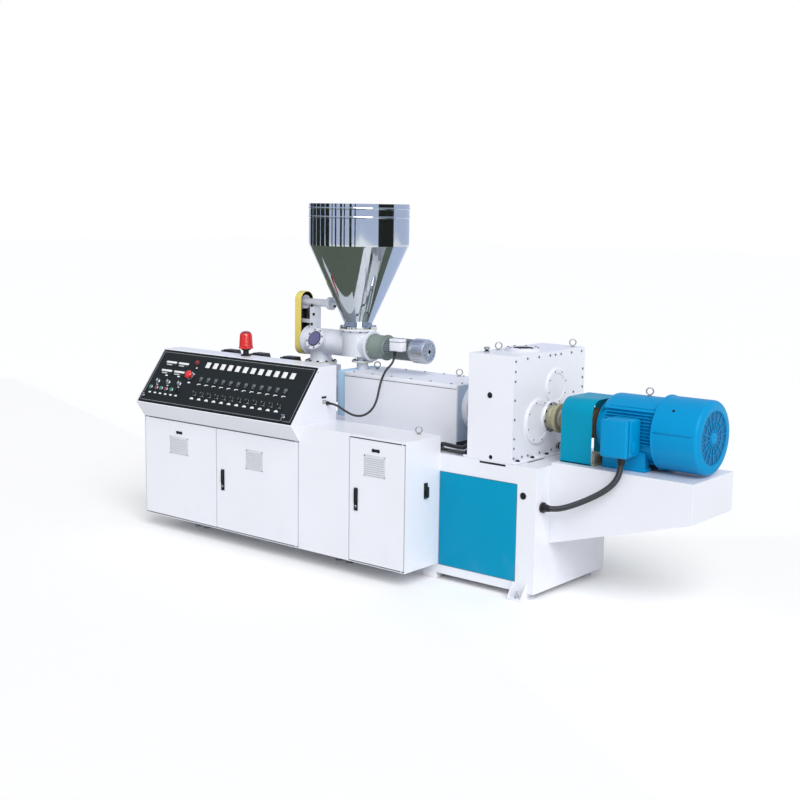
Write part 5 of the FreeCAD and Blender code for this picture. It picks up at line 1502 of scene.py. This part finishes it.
def makeSmallBox(setup):
    x0, y0, z0, x1, y1, z1 = setup["box"]
    box = Stock("consoleWhite", "seamGrey", "brightSteel")
    box.block((x0, y0 + 0.004, z0 + 0.0005), (x1, y1, z1 - 0.020), 0, 0.006, 3)
    box.block((x0 + 0.0025, y0 + 0.007, z1 - 0.0215), (x1 - 0.0025, y1 - 0.003, z1 - 0.0185), 1, 0.0005)
    box.block((x0, y0, z1 - 0.019), (x1, y1, z1 - 0.0003), 0, 0.006, 3)
    for x in (x0 + 0.012, x1 - 0.012):
        for y2 in (y0 + 0.010, y1 - 0.010):
            box.turned([(0, 0), (0, 0.0035), (0.0026, 0.0033), (0.0026, 0)], (x, y2, z1 - 0.0030),
                       paint=2, count=10)
    box.piece("smallTerminalBox", "console_white", "machine", ("feeder_terminal_box",))
    gx, gy, gz = setup["gland"]
    gland = Stock("blackPlastic")
    gland.turned([(0.0, 0), (0.0, 0.0125), (-0.006, 0.0125), (-0.006, 0)], (gx, gy, gz), count=6)
    gland.turned([(-0.006, 0), (-0.006, 0.0115), (-0.012, 0.0105), (-0.024, 0.0084), (-0.034, 0.0078),
                  (-0.034, 0)], (gx, gy, gz), count=20)
    gland.piece("smallGland", "black_plastic")


makeSmallMotorBody(smallMotorSetup)
makeSmallCowl(smallMotorSetup)
makeSmallBox(smallMotorSetup)
print("feeder motor made")

# Heaters: black caps on the terminal hoods, and clamping straps.
heaterSetup = {
    "first": -1.8306, "step": 0.292, "length": 0.165, "front": 0.0725, "top": 1.187,
    "strap": (0.1165, 0.1186, 0.012), "strapEnds": (0.0, 0.178), "strapPlace": (-1.8356, 0.1675, 1.000),
}


def makeHeaterCaps(setup):
    cap = Stock("blackPlastic")
    middle = setup["length"] / 2
    cap.block((middle - 0.048, 0.004, -0.004), (middle + 0.048, 0.066, 0.0002), 0, 0.002)
    cap.block((0.010, -0.0020, -0.060), (0.030, 0.002, -0.006), 0, 0.0015)
    repeated("heaterCaps", "row", cap.template("heaterCap"), "blackPlastic", "black_plastic",
             count=3, step=(setup["step"], 0.0, 0.0), place=(setup["first"], setup["front"], setup["top"]))
    clamp = Stock("darkBolt")
    inner, outer, width = setup["strap"]
    for start in setup["strapEnds"]:
        clamp.turned([(start, inner), (start, outer), (start + width, outer), (start + width, inner)],
                     (0, 0, 0), (1, 0, 0), count=72)
    repeated("heaterStraps", "row", clamp.template("heaterStrap"), "mutedBolt", "heater_steel",
             count=3, step=(setup["step"], 0.0, 0.0), place=setup["strapPlace"])


makeHeaterCaps(heaterSetup)
print("heaters dressed")

# Main motor: finned body under a smooth cover, cowl with grille over a disc of painted shade, terminal box,
# conduit ends, and the foot of the coupling hood, with a brown block and plate of painted shadow in the gap
# at its right end.
motorSetup = {
    "axis": (0.1675, 0.998), "left": 1.27755, "right": 1.64255, "body": 0.190, "nose": 0.150, "taper": 0.055,
    "bed": 0.785, "cowlLeft": 1.64255, "cowlRight": 1.91755, "cowl": 0.2098,
    "coverEdge": 50, "coverBead": 43, "finsRound": 64, "firstFin": -0.40, "finDepth": 0.016,
    "box": (1.4076, -0.1620, 0.8805, 1.5726, 0.000, 1.0875),
    "hood": (1.07155, 1.27155, 0.185), "conduit": ((1.5136, -0.105, 0.8805), (1.0636, -0.1545, 0.538)),
}


def makeMotorBody(setup):
    y, z = setup["axis"]
    left, right = setup["left"], setup["right"]
    long = right - left
    core = setup["body"] - setup["finDepth"]
    body = Stock("motorBlue")
    body.turned([(0, 0), (0, setup["nose"] - 0.004), (0.004, setup["nose"]), (0.016, setup["nose"]),
                 (setup["taper"], core), (long, core), (long, 0)], (left, y, z), (1, 0, 0), 0, 96)
    for y0, y1 in ((y - 0.150, y - 0.080), (y + 0.080, y + 0.150)):
        body.block((left + 0.045, y0, setup["bed"]), (left + 0.315, y1, setup["bed"] + 0.020), 0, 0.004)
        for x0 in (left + 0.055, left + 0.255):
            body.block((x0, y0 + 0.012, setup["bed"] + 0.010), (x0 + 0.050, y1 - 0.002, z - 0.105), 0, 0.004)
    body.piece("motorBody", "motor_blue", "machine", ("motor_body",))


# Fins at the back and at the front, on each side of the cover.
def makeMotorFins(setup):
    y, z = setup["axis"]
    left, long = setup["left"], setup["right"] - setup["left"]
    core = setup["body"] - setup["finDepth"]
    reach, apart, start = setup["body"] - 0.0006, 2 * math.pi / setup["finsRound"], setup["firstFin"]
    fin = Stock("motorBlue")
    fin.prism([(core - 0.012, -0.0022), (reach, -0.0015), (reach, 0.0015), (core - 0.012, 0.0022)],
              setup["taper"] + 0.004, long - 0.001)
    finShape = fin.template("motorFin")
    for name, first, count in (("motorFinsBack", start, 27), ("motorFinsFront", start + 46 * apart, 10)):
        repeated(name, "ring", finShape, "motorBlue", "motor_blue", place=(left, y, z),
                 turn=faceRight, count=count, radius=0.0, first=first, apart=apart)


# The smooth cover over the top, with a bead near each edge.
def makeMotorCover(setup):
    y, z = setup["axis"]
    left, right = setup["left"], setup["right"]
    long = right - left
    core = setup["body"] - setup["finDepth"]
    reach = setup["body"] - 0.0006
    shoulder = [(0.020 + 0.046 * (1 - math.cos(angle)), 0.156 + (reach - 0.156) * math.sin(angle))
                for angle in [math.pi / 14 * number for number in range(8)]]
    edge = math.radians(setup["coverEdge"])
    body = Stock("motorBlue")
    body.saddle(shoulder + [(long - 0.001, reach), (long - 0.001, core - 0.002), (0.062, core - 0.004),
                            (0.022, setup["nose"] - 0.002)], (left, y, z), -edge, edge)
    for side in (-1, 1):
        angle = math.radians(setup["coverBead"])
        spot = (y + side * math.sin(angle) * (reach - 0.001), z + math.cos(angle) * (reach - 0.001))
        body.rod([(left + setup["taper"] + 0.020, *spot), (right - 0.016, *spot)], 0.0062, 0, 12)
        y0, y1 = sorted((y + side * 0.142, y + side * 0.1490))
        body.block((left + 0.047, y0, setup["bed"] + 0.015), (left + 0.313, y1, z - 0.100), 0, 0.002)
    body.piece("motorCover", "motor_blue")
    topBolts("motorFootBolts", bigBolt, setup["bed"] + 0.0205, [
        (x, y + side * 0.136) for x in (left + 0.075, left + 0.275) for side in (-1, 1)])


# The cowl's end closes in a dark blue disc: painted shade behind the grille.
def makeMotorCowl(setup):
    y, z = setup["axis"]
    end = setup["cowlRight"] - setup["cowlLeft"]
    reach = setup["cowl"]
    cowl = Stock("motorBlue", "grilleDark", "darkBolt")
    profile = [(0.0, 0.150), (0.0, reach - 0.004), (0.003, reach), (0.010, reach), (0.013, reach - 0.0045),
               (0.030, reach - 0.0050), (end - 0.026, reach - 0.0050)]
    for number in range(1, 7):
        angle = math.pi / 12 * number
        profile.append((end - 0.026 + 0.024 * math.sin(angle), reach - 0.029 + 0.024 * math.cos(angle)))
    profile += [(end, reach - 0.036), (end, 0.1500), (end - 0.008, 0.1485), (end - 0.010, 0.146, 1),
                (end - 0.010, 0, 1)]
    cowl.turned(profile, (setup["cowlLeft"], y, z), (1, 0, 0), 0, 128)
    cowl.block((setup["cowlLeft"] + 0.014, y - reach + 0.0035, 1.0235),
               (setup["cowlRight"] - 0.030, y - reach + 0.0075, 1.0265), 1, 0.0008)
    cowl.turned([(0, 0), (0, 0.0075), (0.004, 0.0075), (0.005, 0)], (1.745, 0.0250, 1.1435),
                (0, -0.70, 0.71), 2, 14)
    cowl.piece("motorCowl", "motor_blue", "machine", ("motor_fan_cowl",))


# The dark blue disc behind the rings and spokes stands in for the shaded fan space: painted shade.
def makeMotorGrille(setup):
    y, z = setup["axis"]
    grille = Stock("motorBlue", "grilleDark")
    face = setup["cowlRight"]
    grille.turned([(-0.0098, 0), (-0.0098, 0.1470), (-0.0078, 0.1470), (-0.0078, 0)], (face, y, z),
                  (1, 0, 0), 1, 72)
    for ringRadius in (0.0400, 0.0950, 0.1475):
        grille.ring((face - 0.0045, y, z), (1, 0, 0), ringRadius, 0.0021, 0, 72, 6)
    grille.turned([(-0.0085, 0), (-0.0085, 0.031), (-0.0020, 0.031), (-0.0006, 0.027), (-0.0006, 0.012),
                   (-0.004, 0.010), (-0.004, 0)], (face, y, z), (1, 0, 0), 0, 40)
    grille.piece("motorGrille", "motor_blue")
    spoke = Stock("motorBlue")
    spoke.block((0.028, -0.0024, -0.0068), (0.1500, 0.0024, -0.0030), 0, 0.0007, 1)
    repeated("motorGrilleSpokes", "ring", spoke.template("grilleSpoke"), "motorBlue", "motor_blue",
             place=(face, y, z), turn=faceRight, count=16, radius=0.0, first=0.09, apart=math.pi / 8)


def makeMotorBox(setup):
    x0, y0, z0, x1, y1, z1 = setup["box"]
    box = Stock("motorBlue", "grilleDark")
    box.block((x0, y0 + 0.034, z0), (x1, y1, z1), 0, 0.020, 4)
    box.block((x0 + 0.002, y0 + 0.0315, z0 + 0.002), (x1 - 0.002, y0 + 0.0345, z1 - 0.002), 1, 0.001)
    box.block((x0, y0, z0), (x1, y0 + 0.032, z1), 0, 0.018, 4)
    box.turned([(-0.004, 0), (-0.004, 0.034), (0.006, 0.034), (0.008, 0.030), (0.008, 0)],
               (x1, (y0 + y1) / 2, z0 + 0.06), (1, 0, 0), 0, 32)
    for x in (x0 + 0.018, x1 - 0.018):
        for level in (z0 + 0.018, z1 - 0.018):
            box.turned([(0, 0), (0, 0.0060), (0.004, 0.0060), (0.005, 0)], (x, y0 + 0.0045, level),
                       (0, -1, 0), 1, 6)
    box.piece("motorTerminalBox", "motor_blue", "machine", ("motor_terminal_box",))


def makeConduitEnds(setup):
    relief = Stock("blackPlastic")
    upper, lower = setup["conduit"]
    relief.turned([(0, 0), (0, 0.0255), (0.010, 0.0255), (0.012, 0.0225), (0.042, 0.0180), (0.042, 0)],
                  upper, (0, 0, -1), 0, 32)
    relief.turned([(0, 0), (0, 0.0235), (0.008, 0.0230), (0.040, 0.0180), (0.040, 0)],
                  lower, (1, 0, 0), 0, 32)
    relief.piece("conduitReliefs", "black_plastic")


def makeHoodFittings(setup):
    y, z = setup["axis"]
    hoodLeft, hoodRight, half = setup["hood"]
    strip = Stock("stubYellow")
    for side in (-1, 1):
        inner = y + side * (half - 0.001)
        outer = y + side * half
        y0, y1 = sorted((inner - side * 0.020, outer))
        strip.block((hoodLeft + 0.001, y0, setup["bed"]), (hoodRight - 0.001, y1, setup["bed"] + 0.010),
                    0, 0.002)
    strip.piece("hoodFoot", "guard_yellow")
    # A brown-olive block and plate fill the gap at the hood's right end: painted shadow of the hood's inside.
    gapShadow = Stock("mossSteel", "rawIron")
    gapShadow.block((hoodRight - 0.012, y - half + 0.004, setup["bed"]),
               (hoodRight + 0.022, y + half - 0.004, setup["bed"] + 0.012), 0, 0.003)
    gapShadow.block((hoodRight + 0.004, y - half + 0.008, setup["bed"] + 0.010),
               (hoodRight + 0.018, y + half - 0.008, setup["bed"] + 0.062), 1, 0.004)
    gapShadow.piece("hoodTray", "iron_coupling")
    boltRing("couplingBolts", mediumBolt, (1.0006, y, z), (0.0, -math.pi / 2, 0.0), 0.070, 8, 0.2)


makeMotorBody(motorSetup)
makeMotorFins(motorSetup)
makeMotorCover(motorSetup)
makeMotorCowl(motorSetup)
makeMotorGrille(motorSetup)
makeMotorBox(motorSetup)
makeConduitEnds(motorSetup)
makeHoodFittings(motorSetup)
print("main motor made")

studio = {
    "floor": rgb(0.97, 0.97, 0.97), "sky": rgb(0.97, 0.975, 1.0), "skyStrength": 0.61,
    "backdrop": rgb(1.0, 1.0, 1.0), "mirrored": rgb(0.60, 0.68, 0.92), "mirroredStrength": 0.95,
    "sun": 2.25, "sunFrom": (0.68, -0.54, 0.74), "sunSpread": 40.0,
    "around": (-0.62, 0.17), "distance": 9.0, "cardTop": 5.0,
    "black": rgb(0.016, 0.019, 0.013), "olive": rgb(0.105, 0.130, 0.095), "lavender": rgb(0.55, 0.64, 0.86),
    "cards": ((15, 20), (-58, 1.2), (-68, 2.6), (-82, 1.4), (-90, 2.4), (-103, 1.8), (-112, 1.2),
              (-125, 5.5), (-139, 6.5), (-154, 7.0), (-170, 7.5), (-187, 8.0)),
    "sectors": ((-200, -32, "olive"), (6, 44, "olive"), (44, 158, "lavender")),
}


# A card seen only in mirror-like reflections, never by the camera.
def mirroredCard(name, corners, colour):
    mesh = bpy.data.meshes.new(name)
    mesh.from_pydata(corners, [], [tuple(range(len(corners)))])
    card = bpy.data.objects.new(name, mesh)
    bpy.context.scene.collection.objects.link(card)
    make = Finish(name)
    mesh.materials.append(make.surface(base_color=colour, roughness=0.9))
    card.visible_camera = False
    card.visible_diffuse = False
    card.visible_shadow = False


def makeFloor(setup):
    mesh = bpy.data.meshes.new("studioFloor")
    mesh.from_pydata([(-60, -60, 0), (60, -60, 0), (60, 60, 0), (-60, 60, 0)], [], [(0, 1, 2, 3)])
    floor = bpy.data.objects.new("studioFloor", mesh)
    bpy.context.scene.collection.objects.link(floor)
    make = Finish("studioFloor")
    mesh.materials.append(make.surface(base_color=setup["floor"], roughness=0.75))


# White behind, a soft sky for the light, and a paler blue in mirror-like reflections.
def makeSky(setup):
    bpy.context.scene.view_settings.view_transform = "Standard"
    world = bpy.data.worlds.new("studio")
    bpy.context.scene.world = world
    world.use_nodes = True
    make = NodeMaker(world.node_tree)
    sky = world.node_tree.nodes["Background"]
    sky.inputs[0].default_value = setup["sky"]
    sky.inputs[1].default_value = setup["skyStrength"]
    shown = make.node("ShaderNodeBackground", None, {"Color": setup["backdrop"], "Strength": 1.0})
    mirrored = make.node("ShaderNodeBackground", None, {
        "Color": setup["mirrored"], "Strength": setup["mirroredStrength"]})
    direct = make.node("ShaderNodeLightPath")
    bounced = make.node("ShaderNodeLightPath", output=3)
    plain = make.node("ShaderNodeMixShader", None, {0: bounced, 1: Signal(make, sky.outputs[0]), 2: mirrored})
    both = make.node("ShaderNodeMixShader", None, {0: direct, 1: plain, 2: shown})
    world.node_tree.links.new(both.socket, world.node_tree.nodes["World Output"].inputs[0])


def makeSun(setup):
    data = bpy.data.lights.new("studioSun", "SUN")
    data.energy = setup["sun"]
    data.angle = math.radians(setup["sunSpread"])
    lamp = bpy.data.objects.new("studioSun", data)
    lamp.rotation_mode = "QUATERNION"
    lamp.rotation_quaternion = Vector(setup["sunFrom"]).to_track_quat("Z", "Y")
    bpy.context.scene.collection.objects.link(lamp)


# Upright cards in a circle, and level ones in sectors on the floor.
def makeReflections(setup):
    middle, distance = setup["around"], setup["distance"]
    for number, (azimuth, half) in enumerate(setup["cards"]):
        ends = [math.radians(azimuth + side * half) for side in (-1, 1)]
        spots = [(middle[0] + distance * math.cos(end), middle[1] + distance * math.sin(end)) for end in ends]
        corners = [(*spots[0], 0.0), (*spots[1], 0.0), (*spots[1], setup["cardTop"]),
                   (*spots[0], setup["cardTop"])]
        mirroredCard("uprightCard" + str(number), corners, setup["black"])
    for number, (first, last, colour) in enumerate(setup["sectors"]):
        turns = [math.radians(first + (last - first) * step / 12) for step in range(13)]
        corners = [(middle[0], middle[1], 0.004)]
        corners += [(middle[0] + distance * math.cos(turn), middle[1] + distance * math.sin(turn), 0.004)
                    for turn in turns]
        mirroredCard("levelCard" + str(number), corners, setup[colour])


makeFloor(studio)
makeSky(studio)
makeSun(studio)
makeReflections(studio)
print("studio ready")

for item in templates:
    bpy.data.objects.remove(item)
print("patterns cleared")
